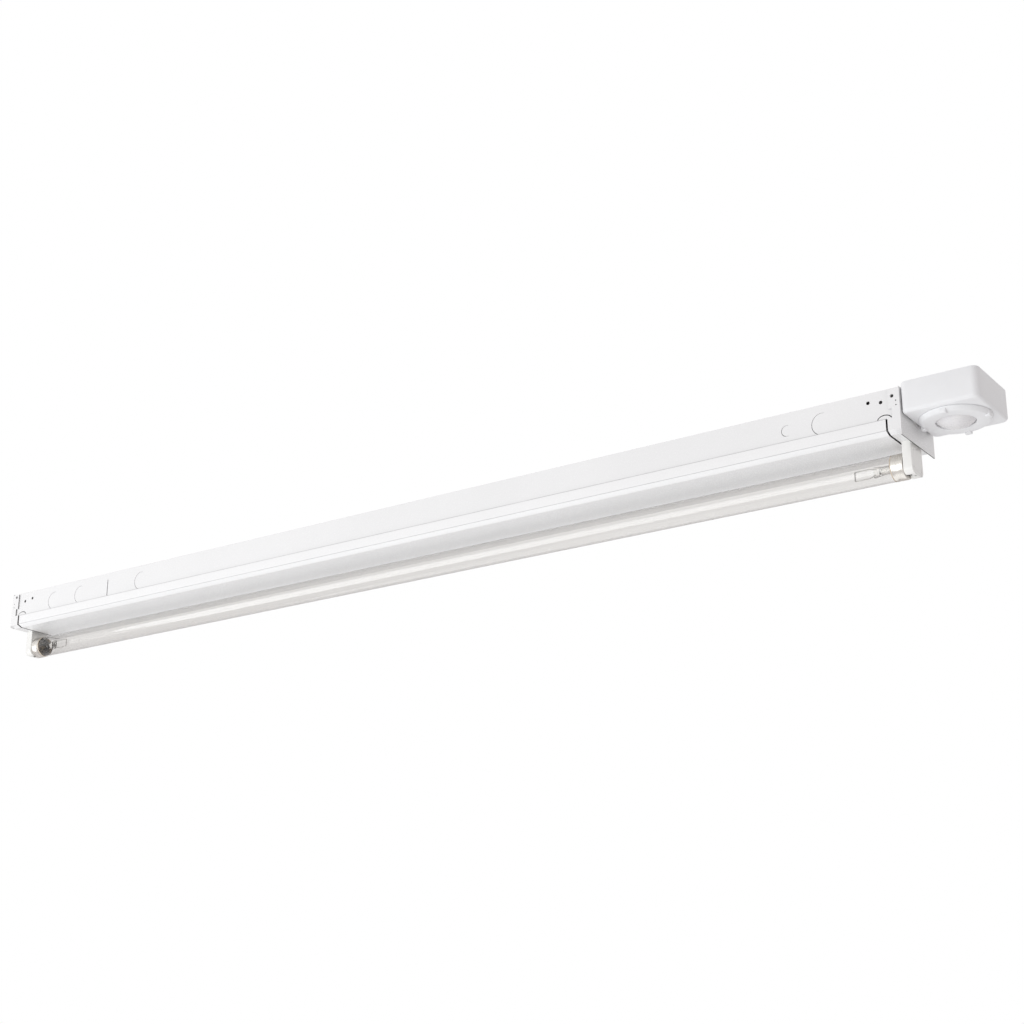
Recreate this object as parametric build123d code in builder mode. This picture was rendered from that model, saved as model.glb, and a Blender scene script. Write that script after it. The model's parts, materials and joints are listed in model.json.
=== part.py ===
"""Four foot germicidal strip light: one bare clear lamp under a steel channel, with an occupancy sensor.

Sizes are in millimetres. +X runs along the fixture towards the sensor, -Y is its front and +Z is up.
The origin is the centre of the channel's top face, the one that goes against the ceiling.
"""

from build123d import *
from math import asin, cos, radians, sin, tan
import os

os.makedirs("parts", exist_ok=True)

# Lamp: a T8 tube with two pins at each end
lamp_length = 1199.4  # between the outer faces of its caps
tube_diameter = 25.4
tube_wall = 0.8
tube_neck_step = 0.4  # the glass is this much smaller inside a cap, on the radius
tube_taper = 1.5  # length of the step down to the neck
cap_diameter = 25.9
cap_wall = 0.4
cap_length = 12.0
cap_edge_radius = 0.8
disc_diameter = 16.4
disc_flange = 1.2  # the disc's hidden rim behind the cap's end face
disc_flange_thickness = 1.6
pin_diameter = 2.35
pin_spacing = 12.7
pin_length = 7.0  # outside the cap
pin_tip_radius = 0.6

# Lamp stem and electrode, inside the glass
stem_reach = 33.5  # from the cap's face to the end of the press
stem_wall = 0.9
stem_radius = 4.2
stem_flare_length = 9.0
press_length = 8.0
press_width = 11.0
press_thickness = 3.0
electrode_reach = 52.5  # from the cap's face to the coil
electrode_spread = 9.6  # between the two lead wires
lead_wire_diameter = 0.8
coil_diameter = 1.5

# Lampholders
holder_thickness = 9.2
holder_width = 25.6
holder_corner = 6.0
lamp_drop = 20.2  # lamp axis below the cover's underside
holder_below_axis = 11.0
lamp_end_play = 0.6  # at each end of the lamp
rotor_diameter = 18.4
rotor_web = 1.0
rotor_slot_width = 2.9
holder_back_wall = 1.4
entry_width = 3.4  # slot in the holder that the pins rise through
mouth_width = 11.0  # the slot's flared mouth in the holder's lower edge
mouth_height = 3.4
mouth_depth = 5.0
neck_thickness = 6.4
neck_width = 23.2
neck_height = 2.6  # above the underside of the bracket it hangs in
lug_reach = 1.3
lug_height = 1.2
contact_thickness = 0.5
contact_width = 4.4
contact_reach = 4.5  # how far the contact passes the lamp axis
contact_pocket_width = 2.0
contact_wall = 0.6  # left outside each contact's pocket
wire_insertion = 3.0

# Channel, folded from sheet steel
channel_width = 75.0
channel_wall_height = 40.0
channel_sheet = 0.8
channel_hem = 6.0
channel_fold_radius = 1.0

# Cover and end caps, folded to one section
cover_depth = 44.3  # top face to underside
cover_sheet = 0.7
cover_overlap = 10.5  # how far its skirts lap the channel walls
cover_fit = 0.3
cover_end_gap = 2.0
lip_run = 6.3
lip_rise = 2.8
end_sheet = 1.0
end_fit = 0.5
bracket_margin = 1.3  # end cap flange past the holder, towards the middle
holder_to_plate = 1.5
plate_below_cover = 3.4  # at the sensor's end only
ear_top_gap = 1.5
ear_margin = 1.5
ear_relief = 5.0  # the ear stands this far back round the cover's catch
ear_relief_height = 9.0
ear_hole_from_end = 7.2
ear_hole_drop_right = 8.4
ear_hole_drop_left = 4.6
tab_length = 12.0
tab_width = 13.0
tab_spacing = 48.0  # between the centres of the two top tabs
fastener_diameter = 3.5
fastener_head_diameter = 6.8
fastener_head_height = 2.2
fastener_head_round = 0.9

# Openings in the channel and the end caps
knockout_radius = 11.1
small_knockout_radius = 5.7
knockout_slit = 0.6  # where the crescent slit round its slug is widest
knockout_tie_start = 2.0  # the slit ends this far past the slug's middle
knockout_drop = 19.5  # below the top face
small_knockout_drop = 18.5
end_knockout_drop = 15.0
right_knockout_from_end = 78.5
right_small_knockout_from_end = 115.5
left_knockouts_from_end = (78.5, 127.5, 235.0)
wall_slot_from_end = 176.0
wall_slot_length = 22.0
wall_slot_width = 1.2
wall_hole_radius = 1.8
right_wall_holes_from_end = (19.0, 31.5)
left_wall_holes_from_end = (22.6, 36.2)
wall_hole_drops = (11.8, 9.7)
catch_half_length = 7.4
catch_height = 4.8
catch_slit = 1.0
catch_insets = (-4.0, -1.2)  # from the cover's end to the catch's middle, at the left and the right
catch_relief_margin = 0.5  # the slot behind the cover's end gap is this much wider at each side
catch_relief_height = 11.0
mount_hole_radius = 3.6
mount_hole_spacing = 1117.6
supply_hole_radius = 11.1
supply_hole_place = 76.2
ear_pip_radius = 0.7
ear_pip_from_end = 3.6
ear_pip_drops = (13.5, 18.0)

# Ballast and its wiring
ballast_place = -200.0
ballast_length = 241.0
ballast_width = 43.0
ballast_height = 29.0
ballast_sheet = 0.6
ballast_base_sheet = 1.0
ballast_ear = 12.0
board_thickness = 1.6
board_standoff = 3.0
board_margin = 2.5
standoff_radius = 2.5
choke_length = 34.0
choke_width = 26.0
choke_height = 17.0
choke_places = (-58.0, 38.0)  # from the ballast's middle
component_corner = 1.0
capacitor_radius = 6.5
capacitor_height = 18.0
capacitor_from_end = 37.0  # from the board's right end to the pair
capacitor_step = 18.0
capacitor_spacing = 15.0
bushing_width = 22.0
bushing_height = 8.0
bushing_length = 4.0
bushing_flange = 1.0
bushing_corner = 1.5
wire_diameter = 1.8
wire_gap = 0.15
wire_bend = 12.0  # straight run out of a bushing, or up out of a lampholder
wire_drop = 50.0  # from a bushing to where the inner lead lies on its hem
wire_stagger = 6.0  # the outer lead of a pair reaches its hem this much sooner
near_turn = 24.0  # from a lampholder to where its leads leave their hem
far_turn = 48.0
widest_bend = 24.0
bend_share = 0.45  # of the shorter run that an arc may take up
connector_radius = 6.0
connector_length = 19.0
connector_spacing = 15.0
connector_taper = 7.0
connector_place = 130.0  # from the ballast's right end to the connectors' mouths
connector_rest = 0.3  # above the cover's inner face
lead_pair_offset = 1.5  # two leads share a connector's mouth, side by side
supply_drop_length = 37.0
turn_back_place = 45.0  # from the connectors' mouths to the nearest turn of the sensor leads
turn_back_step = 12.0
turn_back_bulge = 18.0
exit_outer = 7.5
exit_inner = 4.5
nipple_exit = 6.0  # straight run past the nipple's end
sensor_drop = 70.0  # from the end plate to where the innermost sensor lead lies on its hem
ground_place = 105.0  # from the ballast's right end to the ground screw
ground_side = 18.0
terminal_thickness = 0.8
terminal_diameter = 9.0
barrel_length = 8.0
barrel_diameter = 2.6
barrel_offset = 9.0  # from the screw to the middle of the terminal's barrel
ground_run = 30.0

# Occupancy sensor
sensor_length = 74.5
sensor_width = 79.0
sensor_height = 30.7
sensor_top = 2.5  # above the channel's top face
sensor_side_offset = -1.5
sensor_gap = 1.0  # sealing washer between the sensor and the end plate
sensor_wall = 2.3
sensor_floor = 2.5
sensor_corner = 7.0
sensor_bottom_radius = 3.5
sensor_top_radius = 0.8
back_plate_thickness = 3.0
back_plate_gap = 0.2
washer_diameter = 26.0
nipple_diameter = 20.8
nipple_bore = 15.4
nipple_reach = 8.0  # past the end plate's inner face
nut_diameter = 27.4
nut_thickness = 3.2
ring_diameter = 67.0
ring_inner_diameter = 62.0  # of its lower, narrower face
ring_height = 3.8
ring_gap = 0.2
skirt_diameter = 57.2
skirt_wall = 2.2
skirt_gap = 0.2
bayonet_lugs = 3
lug_width_round = 12.0
lug_radial = 2.4
lug_thickness = 1.8
lug_gap = 0.4
twist_angle = 30.0
grip_width = 8.0
grip_depth = 6.0
grip_height = 2.0  # proud of the ring's lower face
grip_corner = 1.2
lens_diameter = 36.8
lens_height = 7.5
lens_wall = 0.9
lens_rim = 1.9
lens_rim_thickness = 1.0
lens_gap = 0.2
lens_ledge = 1.6
sensor_board_side = 50.0
sensor_board_drop = 8.0  # from the back plate's underside
board_post_radius = 2.0
board_post_inset = 4.0
pir_diameter = 9.2
pir_flange = 0.6
pir_height = 4.4
relay_length = 19.0
relay_width = 15.0
relay_height = 7.0
relay_side = 10.0
dial_diameter = 7.0
dial_height = 3.0
dial_offset_x = 17.0
dial_offset_y = 8.5
dial_slot = 1.0
dial_shaft_radius = 1.5
dial_shaft_length = 2.0
dial_base_side = 8.0
dial_base_height = 3.0
dial_gap = 0.2

# Sensor screws and lead spacing
plate_screw_radius = 1.5
plate_screw_head_radius = 2.9
plate_screw_head_height = 1.6
plate_screw_inset = 9.0
sensor_boss_radius = 3.6
sensor_lead_spacing = 4.0

# Clearances
slide_gap = 0.2
pin_gap = 0.1
turn_gap = 0.08
hole_gap = 0.1

# Places worked out from the sizes above
half_lamp = lamp_length / 2
tube_radius = tube_diameter / 2
neck_radius = tube_radius - tube_neck_step
cap_radius = cap_diameter / 2
pin_radius = pin_diameter / 2
disc_start = half_lamp - cap_wall - disc_flange_thickness
lamp_z = -cover_depth - lamp_drop
lamp_axis = Axis((0, 0, lamp_z), (1, 0, 0))
lamp_plane = Plane(origin=(0, 0, lamp_z), x_dir=(1, 0, 0), z_dir=(0, -1, 0))

holder_inner = half_lamp + lamp_end_play
holder_outer = holder_inner + holder_thickness
holder_bottom = lamp_z - holder_below_axis
neck_inner = holder_inner + (holder_thickness - neck_thickness) / 2
neck_top = -cover_depth + neck_height
contact_x = holder_inner + holder_thickness / 2
contact_y = neck_width / 2 - contact_wall - contact_pocket_width / 2
wire_radius = wire_diameter / 2
wire_end = neck_top - wire_insertion

plate_inner = holder_outer + holder_to_plate
plate_outer = plate_inner + end_sheet
bracket_inner = holder_inner - bracket_margin
cover_half = bracket_inner - cover_end_gap
channel_length = 2 * plate_inner
channel_half_width = channel_width / 2
hem_top = -channel_wall_height + channel_sheet
cover_half_width = channel_half_width + cover_fit + cover_sheet
end_half_width = channel_half_width + end_fit + end_sheet
skirt_top = -channel_wall_height + cover_overlap
plate_bottom = -cover_depth - plate_below_cover
knockout_z = -knockout_drop
end_knockout_z = -end_knockout_drop

screw_x = plate_inner - tab_length / 2
end_screw_places = [(x, y) for x in (-screw_x, screw_x) for y in (-tab_spacing / 2, tab_spacing / 2)]
ballast_right = ballast_place + ballast_length / 2
ballast_screw_x = (ballast_length + ballast_ear) / 2
ballast_screw_places = [(ballast_place - ballast_screw_x, 0), (ballast_place + ballast_screw_x, 0)]
ground_screw_place = (ballast_right + ground_place, ground_side)

sensor_left = plate_outer + sensor_gap
sensor_x = sensor_left + sensor_length / 2
sensor_bottom = sensor_top - sensor_height
sensor_floor_top = sensor_bottom + sensor_floor
back_plate_bottom = sensor_top - back_plate_thickness
board_top = back_plate_bottom - sensor_board_drop
board_bottom = board_top - board_thickness
ring_top = sensor_bottom - ring_gap
ring_bottom = ring_top - ring_height
sensor_axis = Axis((sensor_x, sensor_side_offset, 0), (0, 0, 1))
skirt_radius = skirt_diameter / 2
lug_bottom = sensor_floor_top + ring_gap
lug_top = lug_bottom + lug_thickness


def tray(half_width, top_z, sheet, start):
    """Folded section of the cover and the end caps: two skirts, two sloping lips and a flat underside."""
    with BuildSketch(Plane.YZ.offset(start)) as section:
        with BuildLine():
            Polyline(
                (half_width, top_z),
                (half_width, -cover_depth + lip_rise),
                (half_width - lip_run, -cover_depth),
                (lip_run - half_width, -cover_depth),
                (-half_width, -cover_depth + lip_rise),
                (-half_width, top_z),
                close=True,
            )
        make_face()
        offset(amount=-sheet, kind=Kind.INTERSECTION, mode=Mode.SUBTRACT)
        with Locations((0, top_z)):
            Rectangle(2 * (half_width - sheet), 2 * sheet, mode=Mode.SUBTRACT)
    return section.sketch


def knockout(plane, across, up, radius):
    """Crescent slit round one side of a knockout's slug, which hangs on by its other side."""
    with BuildSketch(plane) as slit:
        with Locations((across, up)):
            Circle(radius)
        with Locations((across + knockout_slit / 2, up)):
            Circle(radius - knockout_slit / 2, mode=Mode.SUBTRACT)
        with Locations((across + knockout_tie_start, up)):
            Rectangle(radius, 2 * radius, align=(Align.MIN, Align.CENTER), mode=Mode.SUBTRACT)
    return slit.sketch


def wire(*points):
    """One insulated wire along straight runs joined by arcs, each arc as large as its two runs allow."""
    places = [Vector(*point) for point in points]
    radii = []
    for before, corner, after in zip(places, places[1:], places[2:]):
        turn = (corner - before).get_angle(after - corner)
        shorter = min((corner - before).length, (after - corner).length)
        radii.append(min(widest_bend, bend_share * shorter / tan(radians(turn / 2))))
    with BuildPart() as lead:
        with BuildLine() as route:
            FilletPolyline(*points, radius=radii)
        first_run = places[1] - places[0]
        with BuildSketch(Plane(origin=places[0], z_dir=first_run)):
            Circle(wire_radius)
        sweep(path=route.wire())
    return lead.part


def mirrored(piece, label):
    """The same piece for the fixture's left end."""
    with BuildPart() as other:
        mirror(piece, about=Plane.YZ)
    other.part.label = label
    return other.part


def save(piece, label):
    """Label a finished piece and write it."""
    piece.label = label
    export_step(piece, f"parts/{label}.step")


# Channel housing
with BuildPart() as channel_housing:
    with BuildSketch(Plane.YZ.offset(-channel_length / 2)) as channel_section:
        with Locations((0, -channel_wall_height / 2)):
            Rectangle(channel_width, channel_wall_height)
        fillet(channel_section.vertices().group_by(Axis.Z)[-1], channel_fold_radius)
        with Locations((0, -channel_wall_height / 2)):
            Rectangle(
                channel_width - 2 * channel_sheet,
                channel_wall_height - 2 * channel_sheet,
                mode=Mode.SUBTRACT,
            )
        with Locations((0, -channel_wall_height)):
            Rectangle(
                channel_width - 2 * channel_sheet - 2 * channel_hem,
                2 * channel_wall_height - 2 * channel_sheet,
                mode=Mode.SUBTRACT,
            )
    extrude(amount=channel_length)
    # Mounting holes, the supply entry and the end cap screws' holes through the top
    with Locations((-mount_hole_spacing / 2, 0), (mount_hole_spacing / 2, 0)):
        Hole(mount_hole_radius)
    with Locations((supply_hole_place, 0)):
        Hole(supply_hole_radius)
    with Locations(*end_screw_places, *ballast_screw_places, ground_screw_place):
        Hole(fastener_diameter / 2 + hole_gap)
    # Knockouts, slots, small holes and lanced catches in both side walls
    wall_plane = Plane.XZ
    extrude(
        knockout(wall_plane, plate_outer - right_knockout_from_end, knockout_z, knockout_radius),
        amount=channel_width,
        both=True,
        mode=Mode.SUBTRACT,
    )
    extrude(
        knockout(
            wall_plane,
            plate_outer - right_small_knockout_from_end,
            -small_knockout_drop,
            small_knockout_radius,
        ),
        amount=channel_width,
        both=True,
        mode=Mode.SUBTRACT,
    )
    for from_end in left_knockouts_from_end:
        extrude(
            knockout(wall_plane, from_end - plate_outer, knockout_z, knockout_radius),
            amount=channel_width,
            both=True,
            mode=Mode.SUBTRACT,
        )
    with BuildSketch(wall_plane):
        with Locations((wall_slot_from_end - plate_outer, knockout_z)):
            SlotOverall(wall_slot_length, wall_slot_width, rotation=90)
        for side, holes_from_end, ear_drop in (
            (-1, left_wall_holes_from_end, ear_hole_drop_left),
            (1, right_wall_holes_from_end, ear_hole_drop_right),
        ):
            for from_end, drop in zip(holes_from_end, wall_hole_drops):
                with Locations((side * (plate_outer - from_end), -drop)):
                    Circle(wall_hole_radius)
            with Locations((side * (plate_outer - ear_hole_from_end), -ear_drop)):
                Circle(wall_hole_radius)
            with Locations(*[(side * (plate_outer - ear_pip_from_end), -drop) for drop in ear_pip_drops]):
                Circle(ear_pip_radius)
            catch_inset = catch_insets[0] if side < 0 else catch_insets[1]
            with Locations((side * (cover_half + catch_inset), skirt_top)):
                Ellipse(catch_half_length, catch_height)
                Ellipse(catch_half_length - catch_slit, catch_height - catch_slit, mode=Mode.SUBTRACT)
                Rectangle(
                    2 * catch_half_length,
                    catch_height,
                    align=(Align.CENTER, Align.MAX),
                    mode=Mode.SUBTRACT,
                )
            with Locations((side * (cover_half + cover_end_gap / 2), skirt_top)):
                Rectangle(
                    cover_end_gap + 2 * catch_relief_margin,
                    catch_relief_height,
                    align=(Align.CENTER, Align.MAX),
                )
    extrude(amount=channel_width, both=True, mode=Mode.SUBTRACT)
save(channel_housing.part, "channel_housing")

# Channel cover
with BuildPart() as channel_cover:
    extrude(tray(cover_half_width, skirt_top, cover_sheet, -cover_half), amount=2 * cover_half)
save(channel_cover.part, "channel_cover")


def end_cap(open_knockout, ear_drop, plate_low):
    """End plate and lampholder bracket in one folded piece, drawn for the right end."""
    with BuildPart() as cap:
        extrude(
            tray(end_half_width, -ear_top_gap, end_sheet, bracket_inner),
            amount=plate_inner - bracket_inner,
        )
        # The ears stand back from the bracket's edge above the cover's skirts, more so round its catch
        with BuildSketch(Plane.XZ):
            with Locations((bracket_inner, 0)):
                Rectangle(2 * ear_margin, 2 * abs(skirt_top))
            with Locations((bracket_inner, skirt_top)):
                Rectangle(2 * ear_relief, ear_relief_height, align=(Align.CENTER, Align.MIN))
        extrude(amount=channel_width, both=True, mode=Mode.SUBTRACT)
        with BuildSketch(Plane.YZ.offset(plate_inner)):
            with Locations((0, plate_low / 2)):
                Rectangle(2 * end_half_width, abs(plate_low))
        extrude(amount=end_sheet)
        # Top tabs, screwed up into the channel
        with BuildSketch(Plane.XY.offset(-channel_sheet - end_sheet)):
            with Locations(
                (plate_inner - tab_length / 2, -tab_spacing / 2),
                (plate_inner - tab_length / 2, tab_spacing / 2),
            ):
                Rectangle(tab_length, tab_width)
        extrude(amount=end_sheet)
        with BuildSketch(Plane.XY.offset(-channel_sheet)):
            with Locations(
                (plate_inner - tab_length / 2, -tab_spacing / 2),
                (plate_inner - tab_length / 2, tab_spacing / 2),
            ):
                Circle(fastener_diameter / 2 + hole_gap)
        extrude(amount=-end_sheet, mode=Mode.SUBTRACT)
        # Opening that the lampholder's neck snaps into
        with BuildSketch(Plane.XY.offset(-cover_depth)):
            with Locations((holder_inner + holder_thickness / 2, 0)):
                Rectangle(neck_thickness + 2 * slide_gap, neck_width + 2 * slide_gap)
        extrude(amount=end_sheet, mode=Mode.SUBTRACT)
        # Small holes through the ears
        with BuildSketch(Plane.XZ):
            with Locations((plate_outer - ear_hole_from_end, -ear_drop)):
                Circle(wall_hole_radius)
            with Locations(*[(plate_outer - ear_pip_from_end, -drop) for drop in ear_pip_drops]):
                Circle(ear_pip_radius)
        extrude(amount=channel_width, both=True, mode=Mode.SUBTRACT)
        plate_face = Plane.YZ.offset(plate_inner)
        if open_knockout:
            with BuildSketch(plate_face):
                with Locations((0, end_knockout_z)):
                    Circle(knockout_radius)
            extrude(amount=end_sheet, mode=Mode.SUBTRACT)
        else:
            extrude(
                knockout(plate_face, 0, end_knockout_z, knockout_radius),
                amount=end_sheet,
                mode=Mode.SUBTRACT,
            )
    return cap.part


save(end_cap(True, ear_hole_drop_right, plate_bottom), "end_cap_right")
save(mirrored(end_cap(False, ear_hole_drop_left, -cover_depth), "end_cap_left"), "end_cap_left")

# End cap screws, driven up from inside, their tips just short of the top face
with BuildPart() as end_cap_screws:
    with BuildSketch(Plane.XY.offset(-channel_sheet - end_sheet - fastener_head_height)):
        with Locations(*end_screw_places):
            Circle(fastener_head_diameter / 2)
    extrude(amount=fastener_head_height)
    fillet(
        end_cap_screws.edges().filter_by(GeomType.CIRCLE).group_by(Axis.Z)[0],
        fastener_head_round,
    )
    with BuildSketch(Plane.XY.offset(-channel_sheet - end_sheet)):
        with Locations(*end_screw_places):
            Circle(fastener_diameter / 2)
    extrude(amount=channel_sheet + end_sheet - hole_gap)
save(end_cap_screws.part, "end_cap_screws")

# Lampholder body: hangs in the end cap's bracket by a snap neck, and holds a rotor and two contacts
pocket_depth = holder_thickness - holder_back_wall
with BuildPart() as lampholder_right:
    with BuildSketch(Plane.YZ.offset(holder_inner)) as holder_face:
        with Locations((0, (holder_bottom - cover_depth) / 2)):
            Rectangle(holder_width, -cover_depth - holder_bottom)
        fillet(holder_face.vertices().group_by(Axis.Y)[0], holder_corner)
    extrude(amount=holder_thickness)
    with BuildSketch(Plane.YZ.offset(neck_inner)):
        with Locations((0, -cover_depth + neck_height / 2)):
            Rectangle(neck_width, neck_height)
        with Locations((0, neck_top - lug_height / 2)):
            Rectangle(neck_width + 2 * lug_reach, lug_height)
    extrude(amount=neck_thickness)
    with BuildSketch(Plane.YZ.offset(holder_inner)):
        with Locations((0, lamp_z)):
            Circle(rotor_diameter / 2 + turn_gap)
        with Locations((0, (lamp_z + holder_bottom) / 2)):
            Rectangle(entry_width, lamp_z - holder_bottom)
    extrude(amount=pocket_depth, mode=Mode.SUBTRACT)
    with BuildSketch(Plane.YZ.offset(holder_inner)):
        with BuildLine():
            Polyline(
                (-mouth_width / 2, holder_bottom),
                (mouth_width / 2, holder_bottom),
                (entry_width / 2, holder_bottom + mouth_height),
                (-entry_width / 2, holder_bottom + mouth_height),
                close=True,
            )
        make_face()
    extrude(amount=mouth_depth, mode=Mode.SUBTRACT)
    with BuildSketch(Plane.YZ.offset(contact_x - contact_width / 2 - slide_gap)):
        for side in (-1, 1):
            with Locations((side * contact_y, (neck_top + lamp_z - contact_reach - slide_gap) / 2)):
                Rectangle(contact_pocket_width, neck_top - lamp_z + contact_reach + slide_gap)
    extrude(amount=contact_width + 2 * slide_gap, mode=Mode.SUBTRACT)
    fillet(
        lampholder_right.faces().filter_by(Plane.YZ).sort_by(Axis.X)[-1].outer_wire().edges()
        .filter_by(Axis.Z),
        holder_back_wall / 2,
    )
save(lampholder_right.part, "lampholder_right")
save(mirrored(lampholder_right.part, "lampholder_left"), "lampholder_left")

# Rotor: turns with the lamp's pins, which lie in the slot across its face
with BuildPart() as rotor_right:
    with BuildSketch(Plane.YZ.offset(holder_inner + slide_gap)):
        with Locations((0, lamp_z)):
            Circle(rotor_diameter / 2)
    extrude(amount=pocket_depth - 2 * slide_gap)
    with BuildSketch(Plane.YZ.offset(holder_inner)):
        with Locations((0, lamp_z)):
            Rectangle(rotor_diameter, rotor_slot_width)
    extrude(amount=pocket_depth - slide_gap - rotor_web, mode=Mode.SUBTRACT)
save(rotor_right.part, "rotor_right")
save(mirrored(rotor_right.part, "rotor_left"), "rotor_left")

# Contact blades, one each side of the rotor
blade_offset = rotor_diameter / 2 + turn_gap + contact_thickness
with BuildPart() as contacts_right:
    with BuildSketch(Plane.YZ.offset(contact_x - contact_width / 2)):
        for side in (-1, 1):
            with Locations((side * blade_offset, (wire_end + lamp_z - contact_reach) / 2)):
                Rectangle(contact_thickness, wire_end - lamp_z + contact_reach)
    extrude(amount=contact_width)
save(contacts_right.part, "contacts_right")
save(mirrored(contacts_right.part, "contacts_left"), "contacts_left")

# Lamp glass: one tube, necked and turned in at both ends
glass_end = disc_start - pin_gap
shoulder = half_lamp - cap_length - tube_taper
stem_mouth = disc_diameter / 2
with BuildPart() as lamp_glass:
    with BuildSketch(lamp_plane):
        with BuildLine():
            Polyline(
                (0, tube_radius),
                (shoulder, tube_radius),
                (shoulder + tube_taper, neck_radius),
                (glass_end, neck_radius),
                (glass_end, stem_mouth),
                (glass_end - tube_wall, stem_mouth),
                (glass_end - tube_wall, neck_radius - tube_wall),
                (shoulder + tube_taper, neck_radius - tube_wall),
                (shoulder, tube_radius - tube_wall),
                (0, tube_radius - tube_wall),
                close=True,
            )
        make_face()
    revolve(axis=lamp_axis)
    mirror(about=Plane.YZ)
save(lamp_glass.part, "lamp_glass")

# Stem: the flared glass funnel that closes the tube's end, pinched flat round the lead wires
press_start = half_lamp - stem_reach
press_end = press_start + press_length
with BuildPart() as stem_right:
    with BuildSketch(lamp_plane):
        with BuildLine():
            Polyline(
                (glass_end, stem_mouth - pin_gap),
                (glass_end - tube_wall, stem_mouth - pin_gap),
                (glass_end - stem_flare_length, stem_radius),
                (press_end - stem_wall, stem_radius),
                (press_end - stem_wall, 0),
                (press_end, 0),
                (press_end, stem_radius - stem_wall),
                (glass_end - stem_flare_length + stem_wall, stem_radius - stem_wall),
                (glass_end, stem_mouth - pin_gap - stem_wall),
                close=True,
            )
        make_face()
    revolve(axis=lamp_axis)
    with BuildSketch(Plane.YZ.offset(press_start)):
        with Locations((0, lamp_z)):
            RectangleRounded(press_thickness, press_width, press_thickness / 3)
    extrude(amount=press_length)
save(stem_right.part, "stem_right")
save(mirrored(stem_right.part, "stem_left"), "stem_left")

# Electrode: two lead wires out of the press, with the coil between their tips
coil_x = half_lamp - electrode_reach
with BuildPart() as electrode_right:
    for side in (-1, 1):
        with BuildSketch(Plane.YZ.offset(coil_x - lead_wire_diameter / 2)):
            with Locations((0, lamp_z + side * electrode_spread / 2)):
                Circle(lead_wire_diameter / 2)
        extrude(amount=press_start - coil_x + lead_wire_diameter / 2)
    with BuildSketch(Plane.XY.offset(lamp_z - electrode_spread / 2)):
        with Locations((coil_x, 0)):
            Circle(coil_diameter / 2)
    extrude(amount=electrode_spread)
save(electrode_right.part, "electrode_right")
save(mirrored(electrode_right.part, "electrode_left"), "electrode_left")

# Lamp cap: a thin metal cup over the necked glass
with BuildPart() as lamp_cap_right:
    with BuildSketch(Plane.YZ.offset(half_lamp - cap_length)):
        with Locations((0, lamp_z)):
            Circle(cap_radius)
    extrude(amount=cap_length)
    fillet(
        lamp_cap_right.edges().filter_by(GeomType.CIRCLE).sort_by(Axis.X)[-1],
        min(cap_edge_radius, cap_wall * 2),
    )
    with BuildSketch(Plane.YZ.offset(half_lamp - cap_length)):
        with Locations((0, lamp_z)):
            Circle(cap_radius - cap_wall)
    extrude(amount=cap_length - cap_wall, mode=Mode.SUBTRACT)
    with BuildSketch(Plane.YZ.offset(half_lamp - cap_wall)):
        with Locations((0, lamp_z)):
            Circle(disc_diameter / 2 + pin_gap)
    extrude(amount=cap_wall, mode=Mode.SUBTRACT)
save(lamp_cap_right.part, "lamp_cap_right")
save(mirrored(lamp_cap_right.part, "lamp_cap_left"), "lamp_cap_left")

# Insulating disc that carries the pins
with BuildPart() as lamp_disc_right:
    with BuildSketch(Plane.YZ.offset(disc_start)):
        with Locations((0, lamp_z)):
            Circle(disc_diameter / 2 + disc_flange)
    extrude(amount=disc_flange_thickness)
    with BuildSketch(Plane.YZ.offset(half_lamp - cap_wall)):
        with Locations((0, lamp_z)):
            Circle(disc_diameter / 2)
    extrude(amount=cap_wall)
    with BuildSketch(Plane.YZ.offset(disc_start)):
        with Locations((-pin_spacing / 2, lamp_z), (pin_spacing / 2, lamp_z)):
            Circle(pin_radius + turn_gap)
    extrude(amount=cap_wall + disc_flange_thickness, mode=Mode.SUBTRACT)
save(lamp_disc_right.part, "lamp_disc_right")
save(mirrored(lamp_disc_right.part, "lamp_disc_left"), "lamp_disc_left")

# The two pins lie level while the lamp is locked in its holders
with BuildPart() as lamp_pins_right:
    with BuildSketch(Plane.YZ.offset(disc_start)):
        with Locations((-pin_spacing / 2, lamp_z), (pin_spacing / 2, lamp_z)):
            Circle(pin_radius)
    extrude(amount=half_lamp + pin_length - disc_start)
    fillet(
        lamp_pins_right.edges().filter_by(GeomType.CIRCLE).group_by(Axis.X)[-1],
        min(pin_tip_radius, pin_radius / 2),
    )
save(lamp_pins_right.part, "lamp_pins_right")
save(mirrored(lamp_pins_right.part, "lamp_pins_left"), "lamp_pins_left")

# Ballast base: screwed up against the inside of the channel's top
base_top = -channel_sheet
base_bottom = base_top - ballast_base_sheet
with BuildPart() as ballast_base:
    with BuildSketch(Plane.XY.offset(base_bottom)):
        with Locations((ballast_place, 0)):
            Rectangle(ballast_length + 2 * ballast_ear, ballast_width)
    extrude(amount=ballast_base_sheet)
    with BuildSketch(Plane.XY.offset(base_bottom)):
        with Locations(*ballast_screw_places):
            Circle(fastener_diameter / 2 + hole_gap)
    extrude(amount=ballast_base_sheet, mode=Mode.SUBTRACT)
save(ballast_base.part, "ballast_base")

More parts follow.
